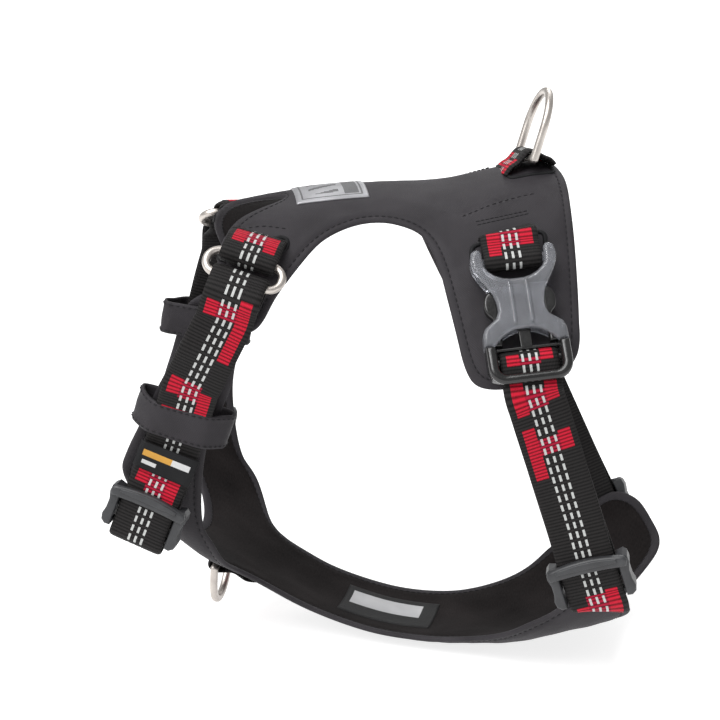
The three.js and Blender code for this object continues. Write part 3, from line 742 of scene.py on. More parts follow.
def pad(name, half, base, blocks, seams, nodes, seed, pull=0.0):
    """One padded piece, its outer side and hem in shell fabric and its inner side in lining."""
    outline = outline_of(half, pull)
    mesh, flat, reach = pad_mesh(name, base, outline)
    made = loose(name, mesh)
    swell(made, held_places(flat, reach, blocks), MOST_SWELL)
    made.modifiers.new("Subdivision", "SUBSURF").levels = 1
    mesh = evaluated(made)
    co, normal = read(mesh.vertices, "co", 3), read(mesh.vertices, "normal", 3)
    flat = np.zeros((len(co), 2))
    flat[read(mesh.loops, "vertex_index", kind=int)] = read(mesh.uv_layers["UVMap"].data, "uv", 2) * 1000
    reach, side = (read(mesh.attributes[key].data, "value") for key in ("reach", "side"))
    co += normal * (relief(flat, reach, side, blocks, seams, seed) / 1000)[:, None]
    mesh.vertices.foreach_set("co", co.ravel())
    face_side, face_reach = (np.array([values[list(p.vertices)].mean() for p in mesh.polygons])
                             for values in (side, reach))
    mesh.polygons.foreach_set("material_index", ((face_side < 0) & (face_reach > HEM)).astype(int))
    mesh.polygons.foreach_set("use_smooth", [True] * len(mesh.polygons))
    mesh.name = name
    mesh.update()
    made = piece(name, mesh, [SHELL, LINING], nodes=nodes)
    return made, outline


# ---- stitches ----
RAY = 0.012                      # how far to look for the surface of a pad, in metres


def capsule():
    """A stitch of unit length along Y: a thread that dips into the cloth at both ends."""
    rings = [(-0.5, 0.25, -0.9), (-0.38, 0.85, -0.25), (0.0, 1.0, 0.0), (0.38, 0.85, -0.25),
             (0.5, 0.25, -0.9)]
    sides = 6
    points = [(r * c, y, z + r * s) for y, r, z in rings for c, s in circle(sides)]
    return np.array(points), ring_faces(len(rings), sides) + caps(len(rings), sides)


def stitches(name, runs, length, body="harness", radius=THREAD, material=None):
    """Stitches at the places of each run, which holds (places, along, out) in the row frame."""
    shape, shape_faces = capsule()
    points, faces, uv = [], [], []
    for places, along, out in runs:
        across = np.cross(along, out)
        for p, a, o, c in zip(places, along, out, across):
            start = len(points)
            for x, y, z in shape:
                points.append(p + (c * x * radius + a * y * length + o * z * radius) / 1000)
                uv.append((x * 0.0003, y * length / 1000))
            faces.extend(tuple(start + i for i in f) for f in shape_faces)
    mesh = mesh_of(name, points, faces, uv=uv)
    return piece(name, mesh, [material or THREAD_BLACK], body)


def run_on(tree, line, base, height, spacing=STITCH):
    """A run of stitches along a line in the flat, laid on the pad that tree holds."""
    line = evenly(line, spacing)
    middle = (line[1:] + line[:-1]) / 2
    step = unit(line[1:] - line[:-1])
    above, out = on_surface(base, middle[:, 0], middle[:, 1], height)
    ahead, _ = on_surface(base, middle[:, 0] + step[:, 0] * 0.2, middle[:, 1] + step[:, 1] * 0.2, height)
    start = world(twisted(above))
    along = unit(world(twisted(ahead)) - start)
    way = unit(world(twisted(above + out)) - start) * math.copysign(1, height + PAD_THICK / 2)
    places, alongs, ways = [], [], []
    for p, a, w in zip(start, along, way):
        hit = tree.ray_cast(Vector(p), Vector(-w), RAY)
        if hit[0] is None:
            continue
        normal = np.array(hit[1])
        normal = normal if normal @ w > 0 else -normal
        a = unit(a - normal * (a @ normal))
        places.append(np.array(hit[0]) + normal * THREAD_LIFT)
        alongs.append(a)
        ways.append(normal)
    return np.array(places), np.array(alongs), np.array(ways)


def surface_tree(obj):
    mesh = obj.data
    return BVHTree.FromPolygons([v.co for v in mesh.vertices], [list(p.vertices) for p in mesh.polygons])


def closed(line):
    return np.vstack([line, line[:1]])


# ---- webbing ----
# Across the webbing, in mm from its middle: its edges, two side columns and three reflective lines.
HALF_COLUMNS = [0.5, 2.26, 3.26, 4.2, 6.6, 9.2, 10.7, 11.3, 11.5]
COLUMNS = [-a for a in reversed(HALF_COLUMNS)] + HALF_COLUMNS
LINE_CENTRES, LINE_HALF = (-2.76, 0.0, 2.76), 0.5
DASH_ROWS = (4, 6)               # a reflective dash shows for so many rows out of so many
# The columns where colour shows. The front one is the nearer to the dog's head.
FRONT, MIDDLE, REAR = (4.2, 9.2), (-4.2, 4.2), (-9.2, -4.2)
# Each block of colour: its column, and where it starts and ends, in mm from where the webbing leaves its bar.
# Those near a slider are measured from the slider.
NECK_BLOCKS = [(REAR, 14, 41), (FRONT, 17, 24), (MIDDLE, 17, 24), (FRONT, 54, 62), (MIDDLE, 54, 63),
               (REAR, 58, 79), (FRONT, 69, 76), (MIDDLE, 69, 76)]
NECK_SLIDER_BLOCKS = [(FRONT, -20, -12), (MIDDLE, -18, -10), (REAR, -18, -8)]
GIRTH_BLOCKS = [(REAR, -2, 7), (FRONT, 4, 8), (MIDDLE, 5, 8), (FRONT, 12, 27), (REAR, 15, 24),
                (MIDDLE, 18.5, 25), (FRONT, 32, 54), (REAR, 37, 45), (MIDDLE, 38, 45.5)]
GIRTH_SLIDER_BLOCKS = [(MIDDLE, 12, 30), (REAR, 11, 22), (FRONT, 16, 30)]
TAB_BLOCKS = [(FRONT, 0, 12), (MIDDLE, 0, 8), (REAR, 0, 7.5)]
RING_TAB_BLOCKS = [(FRONT, -6, 4), (MIDDLE, -6, 3), (REAR, -6, 6), (REAR, 16, 24)]


def profile_line(points):
    """A smooth line through the points of a profile."""
    points = np.asarray(points, float)
    return evenly(catmull(points, np.linspace(0, 1, 40 * len(points))), ROW)


def turn_round(u, n, radius, start, end, steps=8):
    """Places round a bar, from start to end degrees."""
    a = np.radians(np.linspace(start, end, steps + 1))
    return list(zip(u + radius * np.cos(a), n + radius * np.sin(a)))


def straight(u0, n0, u1, n1, step=13):
    t = np.linspace(0, 1, max(1, int(abs(u1 - u0) / step + 0.5)) + 1)
    return list(zip(lerp(u0, u1, t), lerp(n0, n1, t)))


def colour_of(across, along, row, blocks):
    """Which yarn shows at a place on the webbing: 0 black, 1 red, 2 crimson, 3 reflective."""
    if row % DASH_ROWS[1] < DASH_ROWS[0] and any(abs(across - c) < LINE_HALF for c in LINE_CENTRES):
        return 3
    for (low, high), start, end in blocks:
        if low < across < high and start <= along < end:
            return 2 if abs(across) < MIDDLE[1] else 1
    return 0


def moved_on(blocks, distance):
    return [(column, start + distance, end + distance) for column, start, end in blocks]


def webbing(name, track, line, blocks, low=0.0, high=1.0, start=0.0, way=1, flip=1):
    """Ribbed webbing along a line (u, n) in the plane of the track, from share low to share high of it.

    Its blocks of colour are measured along the line from start, forwards or, if way is -1, backwards."""
    total = len(line) - 1
    rows = np.arange(round(low * total), round(high * total) + 1)
    ahead = np.vstack([line[1:], line[-1:]]) - np.vstack([line[:1], line[:-1]])
    normal = unit(array(-ahead[:, 1], ahead[:, 0]))
    columns = np.array(COLUMNS)
    half = WEB_WIDTH / 2
    edge = np.sqrt(np.maximum(0, 1 - (np.abs(columns) / half) ** 14))
    thick = WEB_THICK / 2 * np.maximum(edge, 0.25)
    section = [(a, h) for a, h in zip(columns, thick)] + [(a, -h) for a, h in zip(columns[::-1], thick[::-1])]
    points, uv = [], []
    p, forward, out, across = track.frame(line[rows, 0])
    p = p + out * line[rows, 1][:, None]
    face = forward * normal[rows, 0][:, None] + out * normal[rows, 1][:, None]
    for k, row in enumerate(rows):
        rib = 1 if row % 2 else -1
        for a, h in section:
            inner = abs(a) < half - 0.3
            lift = h + math.copysign(RIB * rib, h) if inner else h
            wide = a if inner else a + math.copysign(0.12 * rib, a)
            points.append(world(p[k] + across[k] * wide + face[k] * lift))
            uv.append(((a + half) / 1000, row * ROW / 1000))
    ring = len(section)
    colours = []
    for row in rows[:-1]:
        along = way * ((row // 2) * 2 * ROW - start)
        for (a, h), (b, g) in zip(section, section[1:] + section[:1]):
            colours.append(colour_of(flip * (a + b) / 2, along, row, blocks) if h * g > 0 else 0)
    faces = ring_faces(len(rows), ring) + caps(len(rows), ring)
    mesh = mesh_of(name, points, faces, uv=uv, material_of=colours + [0, 0])
    fix_normals(mesh)
    return mesh


WEBBING = [YARN_BLACK, YARN_RED, YARN_CRIMSON, YARN_REFLECTIVE]


def tack(track, u, n, rows=2, spacing=2.2, count=11):
    """Rows of stitches across a strap, in the row frame."""
    runs = []
    for r in range(rows):
        p, along, out, across = (v[0] for v in track.frame(u + r * spacing))
        at = np.linspace(-WEB_WIDTH / 2 + 1.6, WEB_WIDTH / 2 - 1.6, count)
        places = world(p + out * n + across * at[:, None])
        runs.append((places, np.repeat(across[None], count, 0), np.repeat(out[None], count, 0)))
    return runs


def folded_tab(u0, bar, bar_n, sewn_n):
    """A tab that comes out of the pad at u0, turns round a bar and goes back in under itself."""
    upper = sewn_n + WEB_THICK + CLEAR
    return profile_line([(u0 - 5, upper - 5), (u0 - 1.5, upper - 1.8),
                         *straight(u0 + 2, upper, bar - 8, upper, 5),
                         *turn_round(bar, bar_n, WRAP, 115, -100),
                         *straight(bar - 6, sewn_n, u0 + 1, sewn_n, 5), (u0 - 4, sewn_n - 1.2)])


# ---- hardware, drawn in mm in its own frame ----
SLIDER_BAR, BUCKLE_BAR = 1.3, 1.9             # the radius of their bars
SLIDER_BAR_Z = -1.3
SOCKET_BAR = -23.5               # the bar of the socket, measured from the middle of the buckle
STRAP_BAR = 18.6                 # the bar of the plug


def plate(outlines, z0, z1, bevel, steps=3):
    """A plate cut to closed outlines, the first outside and the rest holes, with rounded edges."""
    curve = bpy.data.curves.new("plate", "CURVE")
    curve.dimensions = "2D"
    curve.fill_mode = "BOTH"
    curve.extrude = (z1 - z0) / 2 - bevel
    curve.bevel_depth = bevel
    curve.bevel_resolution = steps
    curve.offset = -bevel
    for outline in outlines:
        spline = curve.splines.new("POLY")
        spline.points.add(len(outline) - 1)
        spline.points.foreach_set("co", np.array([(x, y, 0, 1) for x, y in outline], float).ravel())
        spline.use_cyclic_u = True
    made = loose("plate", curve)
    bpy.context.view_layer.update()
    mesh = evaluated(made)
    mesh.transform(Matrix.Translation((0, 0, (z0 + z1) / 2)))
    fix_normals(mesh, 1e-3)
    return mesh


def rounded(half, y0, y1, radius, steps=7):
    """The outline of a rounded rectangle, symmetrical about x = 0."""
    corners = [(half - radius, y0 + radius, -90), (half - radius, y1 - radius, 0),
               (radius - half, y1 - radius, 90), (radius - half, y0 + radius, 180)]
    points = []
    for x, y, start in corners:
        for a in np.radians(np.linspace(start, start + 90, steps + 1)):
            points.append((x + radius * math.cos(a), y + radius * math.sin(a)))
    return points


def d_outline(half, side, inset, steps=28):
    """A D: flat at y = -BAR + inset, with a round bow at the other end."""
    r = half - inset
    corner = 1.6 if inset == 0 else 0.8
    low = -BAR + inset
    points = [(-r, low + corner), (-r + corner * 0.3, low + corner * 0.3), (-r + corner, low),
              (r - corner, low), (r - corner * 0.3, low + corner * 0.3), (r, low + corner)]
    a = np.linspace(0, math.pi, steps + 1)
    return points + list(zip(r * np.cos(a), side + r * np.sin(a)))


def flipped(side, outline):
    """An outline on its own side for 1, or on the other side of x = 0 for -1."""
    return [(side * x, y) for x, y in outline]


def both_sides(half):
    return [*half, *flipped(-1, reversed(half))]


def bowed(start, end, count, y, rise, width):
    """A line at y that bows by rise in the middle."""
    return [(x, y - rise * math.cos(x / width * math.pi / 2)) for x in np.linspace(start, end, count)]


def cube(x0, x1, y0, y1, z0, z1):
    work = bmesh.new()
    bmesh.ops.create_cube(work, size=1)
    for v in work.verts:
        v.co = (lerp(x0, x1, v.co.x + 0.5), lerp(y0, y1, v.co.y + 0.5), lerp(z0, z1, v.co.z + 0.5))
    mesh = bpy.data.meshes.new("cube")
    work.to_mesh(mesh)
    work.free()
    return mesh


def cross_bar(length, radius, y, z):
    """A bar along X with rounded ends."""
    steps = [(-0.5, 0.9), (-0.49, 1.0), (0.49, 1.0), (0.5, 0.9)]
    sides = 24
    points = [(share * length, y + r * radius * c, z + r * radius * s)
              for share, r in steps for c, s in circle(sides)]
    mesh = bpy.data.meshes.new("bar")
    mesh.from_pydata(points, [], ring_faces(len(steps), sides) + caps(len(steps), sides))
    return mesh


def combined(parts, cuts=()):
    """The union of the parts less the cuts."""
    made = loose("work", parts[0])
    others = [(m, "UNION") for m in parts[1:]] + [(m, "DIFFERENCE") for m in cuts]
    for mesh, operation in others:
        tool = loose("tool", mesh)
        modifier = made.modifiers.new("join", "BOOLEAN")
        modifier.operation = operation
        modifier.solver = "EXACT"
        modifier.object = tool
        bpy.context.view_layer.update()
        mesh = evaluated(made)
        bpy.data.objects.remove(tool)
        made = loose("work", mesh)
    mesh = made.data
    bpy.data.objects.remove(made)
    return mesh


def hardware(name, mesh, matrix, material, body, nodes, angle=38):
    mesh.transform(matrix)
    fix_normals(mesh, 1e-6)
    mesh.polygons.foreach_set("use_smooth", [True] * len(mesh.polygons))
    mesh.set_sharp_from_angle(angle=math.radians(angle))
    mesh.name = name
    made = piece(name, mesh, [material], body, nodes)
    weighted = made.modifiers.new("Weighted normals", "WEIGHTED_NORMAL")
    weighted.keep_sharp = True
    return made


def slider_mesh():
    """A slider with an arched bar in front of the webbing at its top and a plain bar behind it below."""
    arch, under = bowed(-15.6, 15.6, 17, -8.3, 2.2, 17), bowed(13.2, -13.2, 13, -4.1, 0.7, 15)
    parts = [plate([[*arch, (16.6, -6.6), (15.6, -4.2), *under, (-15.6, -4.2), (-16.6, -6.6)]],
                   3.4, 7.0, 1.3, 4)]
    ridge = bowed(-12.5, 12.5, 13, -8.2, 1.6, 15)
    parts.append(plate([[*ridge, (12.5, -7.0), (-12.5, -7.0)]], 6.2, 7.5, 0.5, 2))
    cheek = [(12.4, -8.2), (15.2, -9.0), (16.7, -7.6), (17.0, -5.0), (16.1, -1.5), (16.2, 2.5), (16.9, 5.4),
             (16.4, 8.0), (14.6, 9.4), (12.4, 9.2)]
    parts += [plate([flipped(side, cheek)], -3.0, 5.2, 1.1, 3) for side in (-1, 1)]
    bar = 2 * SLOT + 1
    parts += [cross_bar(bar, SLIDER_BAR, 0, SLIDER_BAR_Z), cross_bar(bar, SLIDER_BAR, 7.9, -1.5)]
    return combined(parts)


def socket_mesh():
    """The socket: a waisted clear body with a bar for the webbing, two ribs and a cavity for the prongs."""
    mouth = 12.5
    half = [(SLOT + 0.2, -26.8), (13.3, -28.0), (15.1, -28.2), (16.6, -27.0), (17.2, -23.8), (16.8, -20.5),
            (15.2, -17), (12.6, -12.8), (10.4, -9), (9.4, -5), (9.4, -1.5), (10.6, 1.2), (13.2, 3.1),
            (15.6, 4.8), (16.6, 7.4), (16.8, mouth), (12.5, mouth), (10.6, 10.2), (8.3, 8.4), (5.6, 7),
            (2.8, 6.2)]
    yoke = [(2.5, -14.8), (5.5, -15.4), (8.5, -16.8), (11, -19), (12.1, -21.2)]
    body = plate([both_sides([*yoke, *half, (0, 6)][:-1])], -4.5, 4.5, 1.5, 4)
    ribs = [plate([rounded(0.75, -13.6, 4.5, 0.7)], 3.8, 5.6, 0.55, 2) for _ in range(2)]
    for rib, x in zip(ribs, (-3.4, 3.4)):
        rib.transform(Matrix.Translation((x, 0, 0)))
    cavity = cube(-13.6, 13.6, -12.2, mouth + 2, -2.7, 2.7)
    return combined([body, cross_bar(2 * SLOT + 2, BUCKLE_BAR, SOCKET_BAR, 0), *ribs], [cavity])


def plug_mesh():
    """The plug: a glossy U-shaped frame in front, a bar for the strap and a tongue between the prongs."""
    root, side, bottom = 13.0, 16.6, 28.8
    hole = SLOT + 0.3
    outside = [q for q in rounded(side, 0, bottom, 7.0) if q[1] > root]
    within = [q for q in rounded(hole, 0, 25.0, 3.2) if q[1] > root]
    outline = [(side, root), *outside, (-side, root), (-hole, root), *within[::-1], (hole, root)]
    parts = [plate([outline], 2.6, 6.6, 1.7, 5)]
    parts.append(plate([rounded(side, root, root + 1.4, 0.6)], -3, 1.4, 0.5, 2))
    cheek = [(SLOT + 0.1, root + 0.4), (side, root + 0.4), (side, 22), (15.2, 25.4), (SLOT + 0.1, 26.4)]
    parts += [plate([flipped(way, cheek)], -3, 4.4, 0.7, 2) for way in (-1, 1)]
    parts.append(cross_bar(2 * SLOT + 1, BUCKLE_BAR, STRAP_BAR, 0))
    parts.append(plate([rounded(2.4, -9, root + 1, 1.2)], -1.5, 1.5, 0.4, 2))
    return combined(parts)


PRONG = [(9.4, 12.2), (9.2, 2), (9, -5), (9.4, -9), (11.6, -10.6), (13.6, -8.6), (14.4, -4.8), (13.6, -1.6),
         (11.6, 0.8), (11.6, 4), (12.8, 12.2)]


def prong_mesh(side):
    outline = evenly(catmull(PRONG, np.linspace(0, 1, 200)), 0.8)
    return plate([flipped(side, outline)], -2.3, 2.3, 1.0, 4)


# ---- build: pads ----
def on_side(side, x0, s0, x1, s1):
    """A rectangle on a pad, as it lies on the left (1) or right (-1) side."""
    return x0, min(side * s0, side * s1), x1, max(side * s0, side * s1)


BACK_LABEL = (-28, -15, 2, 15)
CARE_LABEL = (-9, -14, 34, 14)
BACK_SEAMS = ([(-57, 27), (-50, 25), (-42, 25.5), (-33, 29)], [(38, 30.5), (48, 27.5), (58, 26), (69, 26)])
back_blocks = [BACK_LABEL, (50, -13, 80, 13)]
back_seams = []
for side_sign, _ in SIDES:
    back_blocks += [on_side(side_sign, -60, 28, -40, 60), on_side(side_sign, 44, 34, 78, 90)]
    back_seams += [[(x, side_sign * s) for x, s in seam] for seam in BACK_SEAMS]
CHEST_BLOCKS = [CARE_LABEL, (-75, -13, -45, 13)]
back, back_line = pad("back_panel", BACK_HALF, back_base, back_blocks, back_seams,
                      ["back_panel_shell", "back_panel_foam", "back_panel_lining"], seed=3.0)
chest, chest_line = pad("chest_plate", CHEST_HALF, chest_base, CHEST_BLOCKS, [],
                        ["chest_plate_shell", "chest_plate_foam", "chest_plate_lining"],
                        seed=11.0, pull=9.0)
back_tree, chest_tree = surface_tree(back), surface_tree(chest)

for label, tree, base, line in (("back", back_tree, back_base, back_line),
                                ("chest", chest_tree, chest_base, chest_line)):
    hem = closed(inward(line, HEM))
    runs = [run_on(tree, hem, base, height) for height in (4, -PAD_THICK - 4)]
    stitches(f"{label}_hem_stitches", runs, 2.0)
beside_seams = [evenly(seam, 1.0) + (0, 1.3 * np.sign(seam[0][1])) for seam in back_seams]
stitches("back_seam_stitches", [run_on(back_tree, line, back_base, 4) for line in beside_seams], 1.8)


# ---- build: labels ----
def patch(name, base, tree, rectangle, thick, material_of, materials, nodes, inner=False, step=1.0):
    """A thin sewn patch that lies on a pad. material_of gives the material at shares along and across it."""
    x0, s0, x1, s1 = rectangle
    xs, ss = (np.linspace(low, high, int((high - low) / step) + 1) for low, high in ((x0, x1), (s0, s1)))
    gx, gs = np.meshgrid(xs, ss, indexing="ij")
    gx, gs = gx.ravel(), gs.ravel()
    far, lying = 6.0, 0.12       # where the search for the pad starts, and how far above it the patch lies
    start, out = on_surface(base, gx, gs, -PAD_THICK - far if inner else far)
    out = -out if inner else out
    places, ways = world(twisted(start)), unit(world(twisted(start + out)) - world(twisted(start)))
    resting = []
    for p, w in zip(places, ways):
        hit = tree.ray_cast(Vector(p), Vector(-w), RAY)
        resting.append(far / 1000 - hit[3] if hit[0] is not None else 0.0)
    edge = np.minimum(np.minimum(gx - x0, x1 - gx), np.minimum(gs - s0, s1 - gs))
    lift = (np.array(resting) - far / 1000) + (lying + thick * smooth(edge, -0.6, 1.0)) / 1000
    top, bottom = places + ways * lift[:, None], places + ways * (lift - thick / 1000)[:, None]
    faces, picked = layered(len(xs), len(ss), material_of)
    flat = np.stack([gx, gs], 1) / 1000
    mesh = mesh_of(name, np.vstack([top, bottom]), faces, uv=np.vstack([flat, flat]), material_of=picked)
    fix_normals(mesh)
    return piece(name, mesh, materials, nodes=nodes)


def piping(name, x0, s0, x1, s1, radius=0.75):
    """The bound edge of a slot in the back panel: a round cord sewn along a rounded rectangle."""
    path = np.array(rounded((x1 - x0) / 2, s0, s1, 2.6)) + ((x0 + x1) / 2, 0)
    places, alongs, ways = run_on(back_tree, closed(path), back_base, 5, 0.8)
    points, uv, sides = [], [], 8
    for i, (p, a, w) in enumerate(zip(places, alongs, ways)):
        across = np.cross(a, w)
        for k in range(sides):
            t = 2 * math.pi * k / sides
            points.append(p + (across * math.cos(t) * 1.3 + w * math.sin(t)) * radius / 1000)
            uv.append((t * radius / 1000, i * 0.0008))
    mesh = mesh_of(name, points, ring_faces(len(places), sides, joined=True), uv=uv)
    fix_normals(mesh)
    piece(name, mesh, [LABEL])


def patch_print(along, across):
    """A framed patch: a light border, three plain bars and a dark block at the rear."""
    margin = min(along, 1 - along, across, 1 - across)
    if 0.07 < margin < 0.11:
        return 1
    if along > 0.68 and margin > 0.13:
        return 1
    if 0.2 < along < 0.6 and int((across * 10 + along * 4) % 3) == 0 and margin > 0.2:
        return 1
    return 0


def tape_print(along, across):
    """A dark tape with a light panel."""
    return 1 if 0.08 < along < 0.84 and 0.16 < across < 0.58 else 0


patch("back_label", back_base, back_tree, BACK_LABEL, 0.5, patch_print, [SILVER, SILVER_DARK],
      ["back_label"], step=0.75)
patch("care_label", chest_base, chest_tree, CARE_LABEL, 0.4, tape_print, [TAPE_DARK, TAPE],
      ["care_label"], inner=True)
for side_sign, side_name in SIDES:
    for slot_name, edge in (("shoulder", (-61, 34.5, -33, 41)), ("buckle", (41, 47, 70.5, 59))):
        piping(f"{side_name}_{slot_name}_slot_edge", *on_side(side_sign, *edge))
piping("leash_slot_edge", 61, -13.4, 80, 13.4)


# ---- build: rings, loops and straps ----
def ring_plate(outer, inner):
    return plate([outer, inner], -BAR, BAR, BAR * 0.88, 5)


def saddle(bar, bar_n, sewn_n):
    """A short strip that comes out of the pad, arches over a bar and goes back in."""
    return profile_line([(bar - 12, sewn_n - 3.5), (bar - 9, sewn_n - 0.8), (bar - 6, sewn_n + 0.4),
                         *turn_round(bar, bar_n, WRAP, 140, 40, 6),
                         (bar + 6, sewn_n + 0.4), (bar + 8, sewn_n - 0.8), (bar + 9.5, sewn_n - 3)])


def add_tab(name, track, line, blocks, start, flip=1):
    """A sewn loop of webbing that holds a ring or a buckle."""
    piece(name, webbing(name, track, line, blocks, start=start, flip=flip), WEBBING, nodes=[name])


def add_ring(name, keys, half, side, bar, lean, line, start):
    """A D ring, with its bow leaning out of the track by lean degrees, and its loop."""
    track = Track(keys)
    add_tab(f"{name}_loop", track, line, RING_TAB_BLOCKS, start)
    p, along, out, across = (v[0] for v in track.frame(bar[0]))
    way = out * math.cos(math.radians(lean)) + along * math.sin(math.radians(lean))
    matrix = placing(p + out * bar[1], across, way, np.cross(across, way))
    mesh = ring_plate(d_outline(half, side, 0), d_outline(half, side, 2 * BAR))
    hardware(f"{name}_ring", mesh, matrix, NICKEL, f"{name}_ring", [f"{name}_ring"], 60)
    return track


# The bar of each D ring: how far along its track it lies, and how far out.
LEASH_BAR, CHEST_BAR = (13.5, 2.3), (17, 4.7)
add_ring("leash", [key_of(back_base, x, 0, 0.4) for x in (58, 66, 74, 82)], half=17, side=13.5,
         bar=LEASH_BAR, lean=27, line=saddle(*LEASH_BAR, SEWN), start=4)
chest_track = add_ring("chest", [key_of(chest_base, x, 0, 0) for x in (-46, -53, -60, -68)], half=16, side=7,
                       bar=CHEST_BAR, lean=-29, line=folded_tab(0, *CHEST_BAR, SEWN), start=8)


def straight_through(start, middle, before, after):
    """Three keys in a line from start's direction, through the middle one."""
    along = unit(middle[0] - start)
    return [(middle[0] + along * v, middle[1]) for v in (-before, 0, after)]


SLIDER_WRAP = SLIDER_BAR + CLEAR + WEB_THICK / 2
SLIDER_INNER = SLIDER_BAR_Z - SLIDER_WRAP
SHOULDER_TAB, BUCKLE_TAB = -0.8, -1.1         # how high the lower layers of these tabs lie
TAB_TOP = WEB_THICK * 1.5 + CLEAR             # from there to the top of the upper layer
SHOULDER_PITCH = 11              # between the two long bars of a shoulder ring
U_TURN = 3.6                     # radius of the turn that the sewn end of a neck strap makes


def doubled(bar, at, sewn_end):
    """A strap that comes up from its sewn end, turns round a bar and ends round the slider's bar."""
    return profile_line([*sewn_end, *straight(at + 8, WRAP, at - 8, WRAP, 8),
                         *straight(at - 24, TOUCH, bar + 14, TOUCH), *turn_round(bar, 0, WRAP, 80, 280),
                         *straight(bar + 14, -TOUCH, at - 24, -TOUCH),
                         *straight(at - 8, SLIDER_INNER, at - 4, SLIDER_INNER),
                         *turn_round(at, SLIDER_BAR_Z, SLIDER_WRAP, -90, 70)])


def add_strap(name, track, line, bar_at, slider_at, blocks, flip):
    """A doubled strap in two pieces that meet half way along its inner layer."""
    turn = np.argmin(line[:, 0])
    middle = (bar_at + slider_at) / 2
    cut = next(i for i in range(turn, len(line)) if line[i, 0] > middle) / (len(line) - 1)
    half_way = world(track.frame(middle)[0][0])
    start = turn * ROW
    outer_mesh = webbing(name, track, line, blocks, 0, cut, start, -1, flip)
    outer = piece(name, outer_mesh, WEBBING, None, [name])
    tuple(world(track.frame(bar_at + 5)[0][0]))
    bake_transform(outer)
    tail_mesh = webbing(f"{name}_end", track, line, blocks, cut, 1, start, 1, flip)
    tail = piece(f"{name}_end", tail_mesh, WEBBING, None)
    tuple(world(track.frame(slider_at - 5)[0][0]))
    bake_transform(tail)


def add_slider(name, track, at):
    hardware(name, slider_mesh(), track.matrix(at), SLIDER_PLASTIC, name, [name])


def add_shoulder_ring(side, name, track, upper):
    """The flat metal loop at a shoulder, with its upper bar at upper on the track, and its webbing loop."""
    line = folded_tab(2, upper, 0, SHOULDER_TAB)
    add_tab(f"{name}_shoulder_loop", track, line, RING_TAB_BLOCKS, 8, side)
    half, body = SLOT + 1.7 + 2 * BAR, f"{name}_shoulder_ring"
    ring = ring_plate(rounded(half, -BAR, SHOULDER_PITCH + BAR, SHOULDER_PITCH / 2 + BAR - 0.01, 12),
                      rounded(half - 2 * BAR, BAR, SHOULDER_PITCH - BAR, 3.0, 8))
    hardware(body, ring, track.matrix(upper), NICKEL, body, [body], 60)


def add_neck_strap(side, name):
    y = -side
    sewn = key_of(back_base, -44.5, side * 34.5, 3)
    below_ring = ((-57, 56.5, 34, 0.2), (-62.5, 57.5, 20, 0), (-68, 55, 5, 0), (-71.5, 52.3, -11, 0),
                  (-74, 52.3, -22, 0))
    hang = [free(px, y * py, pz, (y, tilt)) for px, py, pz, tilt in below_ring]
    ring_keys = straight_through(sewn[0], key_of(back_base, -50, side * 50, 5.8), 11, 13)
    slider_key = key_of(chest_base, -81.2, side * round_to(-81.2, -50.5), 11.5)
    slider_keys = straight_through(hang[4][0], slider_key, 15, 16)
    track = Track([sewn, *ring_keys, *hang, *slider_keys])
    ring_at, slider_at = track.nearest(ring_keys[1][0]), track.nearest(slider_keys[1][0])
    upper, lower = ring_at - SHOULDER_PITCH / 2, ring_at + SHOULDER_PITCH / 2
    add_shoulder_ring(side, name, track, upper)
    base_n = WRAP - 2 * U_TURN - 0.9
    end = [*straight(slider_at - 18, base_n, slider_at + 9, base_n),
           *turn_round(slider_at + 10, WRAP - U_TURN, U_TURN, -80, 80)]
    blocks = NECK_BLOCKS + moved_on(NECK_SLIDER_BLOCKS, slider_at - ring_at)
    slider = f"{name}_neck_slider"
    add_strap(f"{name}_neck_strap", track, doubled(lower, slider_at, end),
              lower, slider_at, blocks, side)
    add_slider(slider, track, slider_at)
    return track, slider_at


def add_buckle(side, name, matrix):
    """The socket, which is sewn to the back panel, and the plug with its two prongs."""
    hardware(f"{name}_buckle_socket", socket_mesh(), matrix, CLEAR_PLASTIC, "harness",
             [f"{name}_buckle_socket"])
    hardware(f"{name}_buckle_plug", plug_mesh(), matrix, BLACK_PLASTIC, f"{name}_plug",
             [f"{name}_buckle_plug"])
    for which, way in (("front", side), ("rear", -side)):
        prong = f"{name}_prong_{which}"
        hardware(prong, prong_mesh(way), matrix, BLACK_PLASTIC, prong, [prong])


